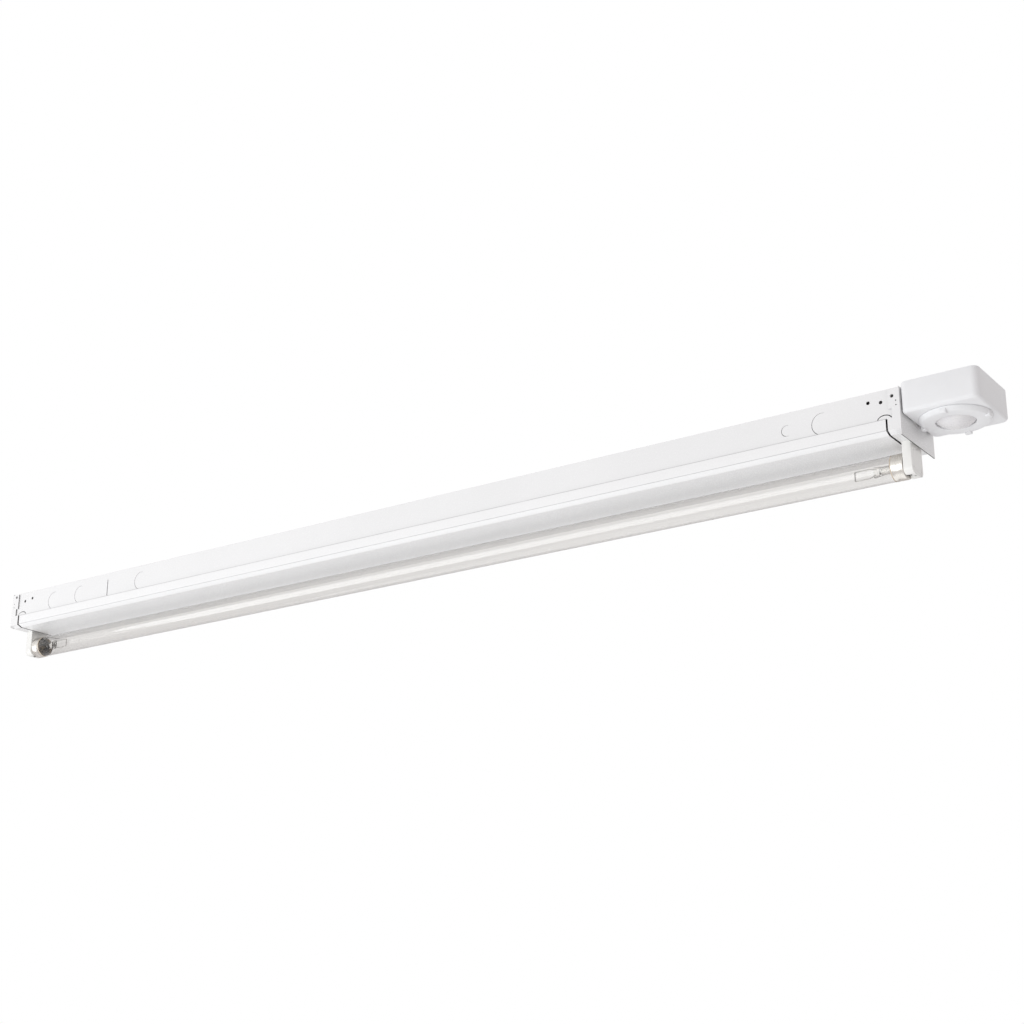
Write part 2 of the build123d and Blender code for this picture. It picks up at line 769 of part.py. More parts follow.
# Ballast case: a folded can with an opening for the lead bushing at each end
case_bottom = base_bottom - ballast_height
bushing_z = (base_bottom + case_bottom) / 2
with BuildPart() as ballast_case:
    with BuildSketch(Plane.XY.offset(case_bottom)):
        with Locations((ballast_place, 0)):
            Rectangle(ballast_length, ballast_width)
    extrude(amount=ballast_height)
    with BuildSketch(Plane.XY.offset(case_bottom + ballast_sheet)):
        with Locations((ballast_place, 0)):
            Rectangle(ballast_length - 2 * ballast_sheet, ballast_width - 2 * ballast_sheet)
    extrude(amount=ballast_height - ballast_sheet, mode=Mode.SUBTRACT)
    with BuildSketch(Plane.YZ.offset(ballast_place - ballast_length / 2)):
        with Locations((0, bushing_z)):
            Rectangle(bushing_width + 2 * hole_gap, bushing_height + 2 * hole_gap)
    extrude(amount=ballast_length, mode=Mode.SUBTRACT)
save(ballast_case.part, "ballast_case")

# Lead bushings in the ballast's ends: a flange outside, a block through the wall
with BuildPart() as ballast_bushings:
    for side in (-1, 1):
        wall_x = ballast_place + side * ballast_length / 2
        with BuildSketch(Plane.YZ.offset(wall_x)):
            with Locations((0, bushing_z)):
                RectangleRounded(
                    bushing_width + 2 * bushing_flange,
                    bushing_height + 2 * bushing_flange,
                    bushing_corner,
                )
        extrude(amount=side * bushing_length / 2)
        with BuildSketch(Plane.YZ.offset(wall_x)):
            with Locations((0, bushing_z)):
                Rectangle(bushing_width, bushing_height)
        extrude(amount=-side * bushing_length / 2)
save(ballast_bushings.part, "ballast_bushings")

# Ballast circuit board on four standoffs, with its choke and capacitors hanging below
ballast_board_top = base_bottom - board_standoff
ballast_board_bottom = ballast_board_top - board_thickness
board_length = ballast_length - 2 * (ballast_sheet + board_margin + bushing_length / 2)
board_width = ballast_width - 2 * (ballast_sheet + board_margin)
with BuildPart() as ballast_board:
    with BuildSketch(Plane.XY.offset(ballast_board_bottom)):
        with Locations((ballast_place, 0)):
            Rectangle(board_length, board_width)
    extrude(amount=board_thickness)
    with BuildSketch(Plane.XY.offset(ballast_board_top)):
        with Locations((ballast_place, 0)):
            with GridLocations(board_length - 4 * standoff_radius, board_width - 4 * standoff_radius, 2, 2):
                Circle(standoff_radius)
    extrude(amount=board_standoff)
save(ballast_board.part, "ballast_board")

with BuildPart() as ballast_choke:
    with BuildSketch(Plane.XY.offset(ballast_board_bottom)):
        with Locations(*[(ballast_place + place, 0) for place in choke_places]):
            RectangleRounded(choke_length, choke_width, component_corner)
    extrude(amount=-choke_height)
save(ballast_choke.part, "ballast_choke")

capacitor_x = ballast_place + board_length / 2 - capacitor_from_end
with BuildPart() as ballast_capacitors:
    with BuildSketch(Plane.XY.offset(ballast_board_bottom)):
        with Locations(
            (capacitor_x, capacitor_spacing / 2),
            (capacitor_x, -capacitor_spacing / 2),
            (capacitor_x + capacitor_step, 0),
        ):
            Circle(capacitor_radius)
    extrude(amount=-capacitor_height)
save(ballast_capacitors.part, "ballast_capacitors")

with BuildPart() as ballast_screws:
    with BuildSketch(Plane.XY.offset(base_bottom - fastener_head_height)):
        with Locations(*ballast_screw_places):
            Circle(fastener_head_diameter / 2)
    extrude(amount=fastener_head_height)
    with BuildSketch(Plane.XY.offset(base_bottom)):
        with Locations(*ballast_screw_places):
            Circle(fastener_diameter / 2)
    extrude(amount=ballast_base_sheet + channel_sheet - hole_gap)
save(ballast_screws.part, "ballast_screws")

terminal_bottom = -channel_sheet - terminal_thickness
with BuildPart() as ground_screw:
    with BuildSketch(Plane.XY.offset(terminal_bottom - fastener_head_height)):
        with Locations(ground_screw_place):
            RegularPolygon(fastener_head_diameter / 2, 6)
    extrude(amount=fastener_head_height)
    with BuildSketch(Plane.XY.offset(terminal_bottom)):
        with Locations(ground_screw_place):
            Circle(fastener_diameter / 2)
    extrude(amount=terminal_thickness + channel_sheet - hole_gap)
save(ground_screw.part, "ground_screw")

# Wiring: lanes on the channel's hems, where the leads lie
lane_z = hem_top + wire_radius + wire_gap
lane_outer = channel_half_width - channel_sheet - wire_radius - wire_gap
lane_inner = lane_outer - wire_diameter - wire_gap
lane_third = lane_inner - wire_diameter - wire_gap
rise_z = neck_top + wire_bend


def lamp_lead(side, lane, exit_y, drop, turn_from_end, contact_side):
    """Lead from the ballast's end to one contact of the lampholder on that side."""
    start = ballast_place + side * (ballast_length + bushing_length) / 2
    return wire(
        (start, exit_y, bushing_z),
        (start + side * wire_bend, exit_y, bushing_z),
        (start + side * drop, lane, lane_z),
        (side * (contact_x - turn_from_end), lane, lane_z),
        (side * contact_x, contact_side * contact_y, rise_z),
        (side * contact_x, contact_side * contact_y, wire_end),
    )


def lamp_leads(side):
    """Both leads of one lampholder."""
    with BuildPart() as pair:
        add(lamp_lead(side, lane_outer, exit_outer, wire_drop - wire_stagger, near_turn, 1))
        add(lamp_lead(side, lane_inner, exit_inner, wire_drop, far_turn, -1))
    return pair.part


save(lamp_leads(-1), "lamp_leads_left")
save(lamp_leads(1), "lamp_leads_right")

# Twist-on connectors lying over the cover, mouths towards the ballast
connector_x = ballast_right + connector_place
connector_z = -cover_depth + cover_sheet + connector_rest + connector_radius
connector_sides = (-connector_spacing, 0, connector_spacing)
with BuildPart() as wire_connectors:
    with BuildSketch(Plane.YZ.offset(connector_x)):
        with Locations(*[(side, connector_z) for side in connector_sides]):
            Circle(connector_radius)
    extrude(amount=connector_length, taper=connector_taper)
save(wire_connectors.part, "wire_connectors")


def supply_lead(exit_y, side):
    """Lead from the ballast's right end down into one connector."""
    start = ballast_right + bushing_length / 2
    end_y = side + lead_pair_offset
    return wire(
        (start, exit_y, bushing_z),
        (start + wire_bend, exit_y, bushing_z),
        (connector_x - supply_drop_length, end_y, bushing_z),
        (connector_x - wire_bend, end_y, connector_z),
        (connector_x, end_y, connector_z),
    )


with BuildPart() as supply_leads:
    add(supply_lead(-exit_inner, connector_sides[2]))
    add(supply_lead(-exit_outer, connector_sides[1]))
save(supply_leads.part, "supply_leads")


def sensor_lead(start_y, lane, side, order):
    """Lead from the sensor's board through its nipple and along the hem, turned back into one connector."""
    start_x = sensor_x - sensor_board_side / 2 + wire_diameter
    turn_x = connector_x - turn_back_place - order * turn_back_step
    end_y = side - lead_pair_offset
    return wire(
        (start_x, start_y, board_bottom),
        (start_x, start_y, end_knockout_z),
        (plate_inner - nipple_reach - nipple_exit, start_y, end_knockout_z),
        (plate_inner - sensor_drop + order * wire_stagger, lane, lane_z),
        (turn_x, lane, lane_z),
        (turn_x - turn_back_bulge, (lane + end_y) / 2, (lane_z + connector_z) / 2),
        (turn_x, end_y, connector_z),
        (connector_x, end_y, connector_z),
    )


with BuildPart() as sensor_leads:
    add(sensor_lead(sensor_lead_spacing, -lane_third, connector_sides[0], 0))
    add(sensor_lead(0, -lane_inner, connector_sides[1], 1))
    add(sensor_lead(-sensor_lead_spacing, -lane_outer, connector_sides[2], 2))
save(sensor_leads.part, "sensor_leads")

# Ground lead: a ring terminal under the screw's head, its barrel crimped on the wire
barrel_x = ballast_right + ground_place - barrel_offset
barrel_z = -channel_sheet - barrel_diameter / 2
with BuildPart() as ground_lead:
    with BuildSketch(Plane.XY.offset(terminal_bottom)):
        with Locations(ground_screw_place):
            Circle(terminal_diameter / 2)
        with Locations(((barrel_x + ground_screw_place[0]) / 2, ground_side)):
            Rectangle(barrel_offset, barrel_diameter)
        with Locations(ground_screw_place):
            Circle(fastener_diameter / 2 + hole_gap, mode=Mode.SUBTRACT)
    extrude(amount=terminal_thickness)
    with BuildSketch(Plane.YZ.offset(barrel_x - barrel_length / 2)):
        with Locations((ground_side, barrel_z)):
            Circle(barrel_diameter / 2)
    extrude(amount=barrel_length)
    add(
        wire(
            (ballast_right + bushing_length / 2, 0, bushing_z),
            (ballast_right + bushing_length / 2 + wire_bend, 0, bushing_z),
            (barrel_x - barrel_length / 2 - ground_run, ground_side, barrel_z - wire_radius),
            (barrel_x - barrel_length / 2 - wire_bend, ground_side, barrel_z),
            (barrel_x, ground_side, barrel_z),
        )
    )
save(ground_lead.part, "ground_lead")

# Sensor housing: a deep moulded box, open at the back, with a threaded nipple towards the end plate
sensor_centre = (sensor_x, sensor_side_offset)
boss_offset_x = sensor_length / 2 - plate_screw_inset
boss_offset_y = sensor_width / 2 - plate_screw_inset
boss_places = [
    (sensor_x - boss_offset_x, sensor_side_offset - boss_offset_y),
    (sensor_x + boss_offset_x, sensor_side_offset + boss_offset_y),
]
nipple_start = plate_inner - nipple_reach
with BuildPart() as sensor_housing:
    with BuildSketch(Plane.XY.offset(sensor_bottom)):
        with Locations(sensor_centre):
            RectangleRounded(sensor_length, sensor_width, sensor_corner)
    extrude(amount=sensor_height)
    fillet(sensor_housing.edges().group_by(Axis.Z)[0], sensor_bottom_radius)
    fillet(sensor_housing.edges().group_by(Axis.Z)[-1], min(sensor_top_radius, sensor_wall / 2))
    with BuildSketch(Plane.XY.offset(sensor_floor_top)):
        with Locations(sensor_centre):
            RectangleRounded(
                sensor_length - 2 * sensor_wall,
                sensor_width - 2 * sensor_wall,
                sensor_corner - sensor_wall,
            )
    extrude(amount=sensor_height, mode=Mode.SUBTRACT)
    with BuildSketch(Plane.XY.offset(sensor_floor_top)):
        with Locations(*boss_places):
            Circle(sensor_boss_radius)
    extrude(amount=back_plate_bottom - sensor_floor_top)
    with BuildSketch(Plane.XY.offset(back_plate_bottom)):
        with Locations(*boss_places):
            Circle(plate_screw_radius + turn_gap)
    extrude(amount=sensor_floor_top - back_plate_bottom, mode=Mode.SUBTRACT)
    # Round opening for the ring's skirt, with notches that its lugs drop through
    with BuildSketch(Plane.XY.offset(sensor_bottom)):
        with Locations(sensor_centre):
            Circle(skirt_radius + skirt_gap)
            with PolarLocations(skirt_radius, bayonet_lugs, start_angle=twist_angle):
                Rectangle(2 * (lug_radial + lug_gap), lug_width_round + 2 * lug_gap)
    extrude(amount=sensor_floor, mode=Mode.SUBTRACT)
    with BuildSketch(Plane.YZ.offset(nipple_start)):
        with Locations((0, end_knockout_z)):
            Circle(nipple_diameter / 2)
    extrude(amount=sensor_left - nipple_start)
    with BuildSketch(Plane.YZ.offset(nipple_start)):
        with Locations((0, end_knockout_z)):
            Circle(nipple_bore / 2)
    extrude(amount=sensor_left + sensor_wall - nipple_start, mode=Mode.SUBTRACT)
save(sensor_housing.part, "sensor_housing")

with BuildPart() as sensor_washer:
    with BuildSketch(Plane.YZ.offset(plate_outer)):
        with Locations((0, end_knockout_z)):
            Circle(washer_diameter / 2)
            Circle(nipple_diameter / 2 + hole_gap, mode=Mode.SUBTRACT)
    extrude(amount=sensor_gap)
save(sensor_washer.part, "sensor_washer")

with BuildPart() as nipple_locknut:
    with BuildSketch(Plane.YZ.offset(plate_inner - nut_thickness)):
        with Locations((0, end_knockout_z)):
            RegularPolygon(nut_diameter / 2, 6)
            Circle(nipple_diameter / 2 + turn_gap, mode=Mode.SUBTRACT)
    extrude(amount=nut_thickness)
save(nipple_locknut.part, "nipple_locknut")

# Back plate, let into the housing's open top, with four posts that carry the board
post_offset = sensor_board_side - 2 * board_post_inset
with BuildPart() as sensor_back_plate:
    with BuildSketch(Plane.XY.offset(back_plate_bottom)):
        with Locations(sensor_centre):
            RectangleRounded(
                sensor_length - 2 * (sensor_wall + back_plate_gap),
                sensor_width - 2 * (sensor_wall + back_plate_gap),
                sensor_corner - sensor_wall - back_plate_gap,
            )
    extrude(amount=back_plate_thickness)
    with BuildSketch(Plane.XY.offset(board_top)):
        with Locations(sensor_centre):
            with GridLocations(post_offset, post_offset, 2, 2):
                Circle(board_post_radius)
    extrude(amount=sensor_board_drop)
    with Locations(*[(x, y, sensor_top) for x, y in boss_places]):
        CounterBoreHole(
            plate_screw_radius + turn_gap,
            plate_screw_head_radius + turn_gap,
            plate_screw_head_height,
            back_plate_thickness,
        )
save(sensor_back_plate.part, "sensor_back_plate")

with BuildPart() as sensor_screws:
    with BuildSketch(Plane.XY.offset(sensor_top - plate_screw_head_height)):
        with Locations(*boss_places):
            Circle(plate_screw_head_radius)
    extrude(amount=plate_screw_head_height)
    with BuildSketch(Plane.XY.offset(back_plate_bottom - sensor_board_drop)):
        with Locations(*boss_places):
            Circle(plate_screw_radius)
    extrude(amount=sensor_top - plate_screw_head_height - back_plate_bottom + sensor_board_drop)
save(sensor_screws.part, "sensor_screws")

# Twist ring: holds the lens, and locks under the housing's floor with its lugs
lens_radius = lens_diameter / 2
ledge_top = ring_bottom + lens_ledge
sensor_plane = Plane(origin=(sensor_x, sensor_side_offset, 0), x_dir=(1, 0, 0), z_dir=(0, -1, 0))
with BuildPart() as sensor_ring:
    with BuildSketch(sensor_plane):
        with BuildLine():
            Polyline(
                (lens_radius + lens_gap, ring_bottom),
                (ring_inner_diameter / 2, ring_bottom),
                (ring_diameter / 2, ring_top - ring_height / 4),
                (ring_diameter / 2, ring_top),
                (skirt_radius, ring_top),
                (skirt_radius, lug_top),
                (skirt_radius - skirt_wall, lug_top),
                (skirt_radius - skirt_wall, ledge_top),
                (lens_radius + lens_gap, ledge_top),
                close=True,
            )
        make_face()
    revolve(axis=sensor_axis)
    with BuildSketch(Plane.XY.offset(lug_bottom)):
        with Locations(sensor_centre):
            with PolarLocations(skirt_radius, bayonet_lugs):
                Rectangle(2 * lug_radial, lug_width_round)
            Circle(skirt_radius - skirt_wall / 2, mode=Mode.SUBTRACT)
    extrude(amount=lug_thickness)
    # Four finger grips round its rim
    with BuildSketch(Plane.XY.offset(ring_bottom - grip_height)):
        with Locations(sensor_centre):
            with PolarLocations((ring_diameter - grip_depth) / 2, 4):
                RectangleRounded(grip_depth, grip_width, grip_corner)
    extrude(amount=grip_height + 3 * ring_height / 4)
save(sensor_ring.part, "sensor_ring")

# Lens: a thin dome with a flat rim that rests on the ring's ledge
dome_radius = (lens_radius**2 + lens_height**2) / (2 * lens_height)
dome_angle = asin(lens_radius / dome_radius)
dome_centre_z = ledge_top - lens_height + dome_radius


def dome_point(radius, angle):
    """Point of the dome's section, at an angle from its lowest point."""
    return (radius * sin(angle), dome_centre_z - radius * cos(angle))


inner_dome_radius = dome_radius - lens_wall
inner_angle = asin((lens_radius - lens_wall) / inner_dome_radius)
with BuildPart() as sensor_lens:
    with BuildSketch(sensor_plane):
        with BuildLine():
            outer = ThreePointArc(
                dome_point(dome_radius, 0),
                dome_point(dome_radius, dome_angle / 2),
                dome_point(dome_radius, dome_angle),
            )
            inner = ThreePointArc(
                dome_point(inner_dome_radius, 0),
                dome_point(inner_dome_radius, inner_angle / 2),
                dome_point(inner_dome_radius, inner_angle),
            )
            rim_top = ledge_top + lens_rim_thickness
            Polyline(
                outer @ 1,
                (lens_radius + lens_rim, ledge_top),
                (lens_radius + lens_rim, rim_top),
                (lens_radius - lens_wall, rim_top),
                inner @ 1,
            )
            Line(outer @ 0, inner @ 0)
        make_face()
    revolve(axis=sensor_axis)
save(sensor_lens.part, "sensor_lens")

# Sensor board on the back plate's posts, with what it carries
with BuildPart() as sensor_board:
    with BuildSketch(Plane.XY.offset(board_bottom)):
        with Locations(sensor_centre):
            Rectangle(sensor_board_side, sensor_board_side)
    extrude(amount=board_thickness)
save(sensor_board.part, "sensor_board")

with BuildPart() as motion_detector:
    with BuildSketch(Plane.XY.offset(board_bottom)):
        with Locations(sensor_centre):
            Circle(pir_diameter / 2 + pir_flange)
    extrude(amount=-pir_flange)
    with BuildSketch(Plane.XY.offset(board_bottom)):
        with Locations(sensor_centre):
            Circle(pir_diameter / 2)
    extrude(amount=-pir_height)
save(motion_detector.part, "motion_detector")

with BuildPart() as sensor_relay:
    with BuildSketch(Plane.XY.offset(board_top)):
        with Locations((sensor_x - relay_side, sensor_side_offset)):
            RectangleRounded(relay_width, relay_length, component_corner)
    extrude(amount=relay_height)
save(sensor_relay.part, "sensor_relay")

dial_x = sensor_x + dial_offset_x
dial_top = board_bottom - dial_base_height
with BuildPart() as dial_bases:
    with BuildSketch(Plane.XY.offset(dial_top)):
        for side in (-1, 1):
            with Locations((dial_x, sensor_side_offset + side * dial_offset_y)):
                Rectangle(dial_base_side, dial_base_side)
                Circle(dial_shaft_radius + turn_gap, mode=Mode.SUBTRACT)
    extrude(amount=dial_base_height)
save(dial_bases.part, "dial_bases")


def dial(side):
    """Setting dial with a screwdriver slot, its shaft up in its base."""
    with BuildPart() as knob:
        centre = (dial_x, sensor_side_offset + side * dial_offset_y)
        with BuildSketch(Plane.XY.offset(dial_top - dial_gap - dial_height)):
            with Locations(centre):
                Circle(dial_diameter / 2)
        extrude(amount=dial_height)
        with BuildSketch(Plane.XY.offset(dial_top - dial_gap)):
            with Locations(centre):
                Circle(dial_shaft_radius)
        extrude(amount=dial_gap + dial_shaft_length)
        with BuildSketch(Plane.XY.offset(dial_top - dial_gap - dial_height)):
            with Locations(centre):
                Rectangle(dial_diameter, dial_slot)
        extrude(amount=dial_slot, mode=Mode.SUBTRACT)
    return knob.part


save(dial(-1), "time_dial")
save(dial(1), "light_dial")
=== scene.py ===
"""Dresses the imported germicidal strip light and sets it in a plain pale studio.

Everything is in metres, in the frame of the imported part: +X runs towards the sensor, -Y is the front and
+Z is up. The origin is the centre of the channel's top face. Sizes in MM are millimetres made metres.
"""

import json
import logging
import math
from collections.abc import Callable, Sequence
from dataclasses import dataclass
from enum import Enum

import bmesh
import bpy
from mathutils import Matrix, Quaternion, Vector

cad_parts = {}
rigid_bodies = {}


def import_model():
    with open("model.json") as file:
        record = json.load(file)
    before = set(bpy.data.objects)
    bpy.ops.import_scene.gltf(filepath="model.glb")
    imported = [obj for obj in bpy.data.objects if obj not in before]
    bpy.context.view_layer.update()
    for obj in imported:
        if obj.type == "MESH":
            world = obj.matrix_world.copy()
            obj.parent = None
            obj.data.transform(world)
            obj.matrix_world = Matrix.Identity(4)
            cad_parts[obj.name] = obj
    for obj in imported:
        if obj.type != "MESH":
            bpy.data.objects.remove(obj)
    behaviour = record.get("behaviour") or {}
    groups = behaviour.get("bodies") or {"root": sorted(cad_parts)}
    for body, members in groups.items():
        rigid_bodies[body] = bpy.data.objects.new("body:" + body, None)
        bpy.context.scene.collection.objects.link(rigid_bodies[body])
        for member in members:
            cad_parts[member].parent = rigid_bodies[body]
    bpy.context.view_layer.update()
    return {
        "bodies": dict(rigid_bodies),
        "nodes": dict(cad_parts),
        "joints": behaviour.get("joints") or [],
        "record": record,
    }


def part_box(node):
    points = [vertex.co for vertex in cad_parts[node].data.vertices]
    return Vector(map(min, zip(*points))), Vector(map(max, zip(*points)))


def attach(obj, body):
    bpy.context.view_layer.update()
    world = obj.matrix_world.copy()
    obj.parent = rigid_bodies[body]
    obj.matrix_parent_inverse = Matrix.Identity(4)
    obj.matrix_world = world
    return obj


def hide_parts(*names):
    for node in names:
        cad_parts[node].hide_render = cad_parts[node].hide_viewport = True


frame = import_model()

LOG = logging.getLogger("strip_light")
MM = 0.001
NEAR = 1e-6
GLASS_SHADE = (0.975, 0.972, 0.97, 1.0)
ALONG = Vector((1.0, 0.0, 0.0))
UP = Vector((0.0, 0.0, 1.0))
Colour = tuple[float, float, float]
Test = Callable[[Vector, Vector], bool]
Outline = Sequence[tuple[float, ...]]


class Grain(Enum):
    """How a surface's fine texture is stretched."""

    EVEN = (1.0, 1.0, 1.0)
    ALONG_X = (0.04, 1.0, 1.0)
    ROUND_X = (1.0, 0.05, 0.05)


class Kind(Enum):
    """What an edit picks."""

    EDGE = "EDGE"
    FACE = "FACE"


class NodeTree:
    """A shader tree with short ways to add and join its nodes."""

    def __init__(self, tree: bpy.types.NodeTree) -> None:
        """Wraps a material's or a group's own tree."""
        self.tree = tree

    def add(self, kind: str, **values: object) -> bpy.types.Node:
        """Adds a node, sets its properties and sets or joins its inputs.

        Args:
            kind: The node's type name.
            values: Properties by name, or inputs by name with spaces written as underscores.

        Returns:
            The new node.
        """
        node = self.tree.nodes.new(kind)
        for key, value in values.items():
            if hasattr(node, key):
                setattr(node, key, value)
                continue
            socket = node.inputs[key.replace("_", " ")]
            if isinstance(value, bpy.types.NodeSocket):
                self.join(value, socket)
            else:
                socket.default_value = value
        return node

    def join(self, source: bpy.types.NodeSocket, target: bpy.types.NodeSocket) -> None:
        """Joins an output socket to an input socket."""
        self.tree.links.new(source, target)

    def mix(self, *sources: bpy.types.NodeSocket) -> bpy.types.NodeSocket:
        """Mixes two shaders, given after the factor.

        Args:
            sources: The factor, the first shader and the second.

        Returns:
            The mixed shader.
        """
        node = self.add("ShaderNodeMixShader")
        for source, target in zip(sources, node.inputs):
            self.join(source, target)
        return node.outputs["Shader"]


class SurfaceGroup:
    """Shader node group that gives a made surface its blotches, fine grain and dust."""

    NAME = "made_surface"

    def __init__(self) -> None:
        """Builds the group once."""
        group = bpy.data.node_groups.new(self.NAME, "ShaderNodeTree")
        face = group.interface
        for way, kind, names in (
            ("INPUT", "Vector", ("Coordinates",)),
            ("INPUT", "Color", ("Light Colour", "Dark Colour")),
            ("INPUT", "Float", ("Blotch Scale", "Grain Scale", "Smooth", "Rough", "Grain Depth")),
            ("OUTPUT", "Color", ("Colour",)),
            ("OUTPUT", "Float", ("Roughness",)),
            ("OUTPUT", "Vector", ("Normal",)),
        ):
            for name in names:
                face.new_socket(name, in_out=way, socket_type=f"NodeSocket{kind}")
        kit = NodeTree(group)
        entry = kit.add("NodeGroupInput").outputs
        blotch = kit.add(
            "ShaderNodeTexNoise", Vector=entry["Coordinates"], Scale=entry["Blotch Scale"],
            Detail=4.0, Roughness=0.55,
        )
        grain = kit.add(
            "ShaderNodeTexNoise", Vector=entry["Coordinates"], Scale=entry["Grain Scale"],
            Detail=3.0, Roughness=0.5,
        )
        spread = kit.add("ShaderNodeMapRange", Value=blotch.outputs["Fac"], From_Min=0.35, From_Max=0.65)
        colour = kit.add("ShaderNodeMix", data_type="RGBA")
        kit.join(spread.outputs["Result"], colour.inputs[0])
        kit.join(entry["Light Colour"], colour.inputs[6])
        kit.join(entry["Dark Colour"], colour.inputs[7])
        rough = kit.add(
            "ShaderNodeMapRange", Value=grain.outputs["Fac"], From_Min=0.3, From_Max=0.7,
            To_Min=entry["Smooth"], To_Max=entry["Rough"],
        )
        bump = kit.add(
            "ShaderNodeBump", Distance=0.0001, Height=grain.outputs["Fac"], Strength=entry["Grain Depth"]
        )
        kit.add(
            "NodeGroupOutput", Colour=colour.outputs[2], Roughness=rough.outputs["Result"],
            Normal=bump.outputs["Normal"],
        )
        self.group = group


@dataclass(frozen=True)
class Finish:
    """One finish: its two close colours, its sheen and its grain."""

    name: str
    light: Colour
    dark: Colour
    smooth: float = 0.32
    rough: float = 0.42
    blotch_scale: float = 25.0
    grain_scale: float = 900.0
    grain_depth: float = 0.15
    metallic: float = 0.0
    transmission: float = 0.0
    ior: float = 1.5
    grain: Grain = Grain.EVEN

    def build(self, surface: SurfaceGroup) -> bpy.types.Material:
        """Makes the finish's material.

        Args:
            surface: The shared surface group.

        Returns:
            The material.
        """
        material = bpy.data.materials.new(self.name)
        material.use_nodes = True
        material.node_tree.nodes.clear()
        kit = NodeTree(material.node_tree)
        place = kit.add("ShaderNodeTexCoord")
        stretch = kit.add("ShaderNodeMapping", Vector=place.outputs["Object"], Scale=self.grain.value)
        made = kit.add(
            "ShaderNodeGroup", node_tree=surface.group, Coordinates=stretch.outputs["Vector"],
            Light_Colour=(*self.light, 1.0), Dark_Colour=(*self.dark, 1.0),
            Blotch_Scale=self.blotch_scale, Grain_Scale=self.grain_scale,
            Smooth=self.smooth, Rough=self.rough, Grain_Depth=self.grain_depth,
        ).outputs
        shader = kit.add(
            "ShaderNodeBsdfPrincipled", Metallic=self.metallic, Transmission_Weight=self.transmission,
            IOR=self.ior, Base_Color=made["Colour"], Roughness=made["Roughness"], Normal=made["Normal"],
        )
        seen = shader.outputs["BSDF"]
        if self.transmission:
            path = kit.add("ShaderNodeLightPath")
            clear = kit.add("ShaderNodeBsdfTransparent", Color=GLASS_SHADE)
            seen = kit.mix(path.outputs["Is Shadow Ray"], seen, clear.outputs["BSDF"])
        kit.add("ShaderNodeOutputMaterial", Surface=seen)
        return material


def shaded(light: Colour, shade: float) -> Colour:
    """A darker shade of a colour."""
    return (light[0] * shade, light[1] * shade, light[2] * shade)


def plastic(
    name: str, light: Colour, shade: float = 0.75, smooth: float = 0.3, rough: float = 0.42
) -> Finish:
    """A small moulded or painted piece's finish."""
    return Finish(name, light, shaded(light, shade), smooth, rough, 90.0, 2200.0, 0.18)


def metal(name: str, light: Colour) -> Finish:
    """A bare metal's finish."""
    return Finish(name, light, shaded(light, 0.8), 0.2, 0.35, 140.0, 2200.0, 0.15, 1.0)


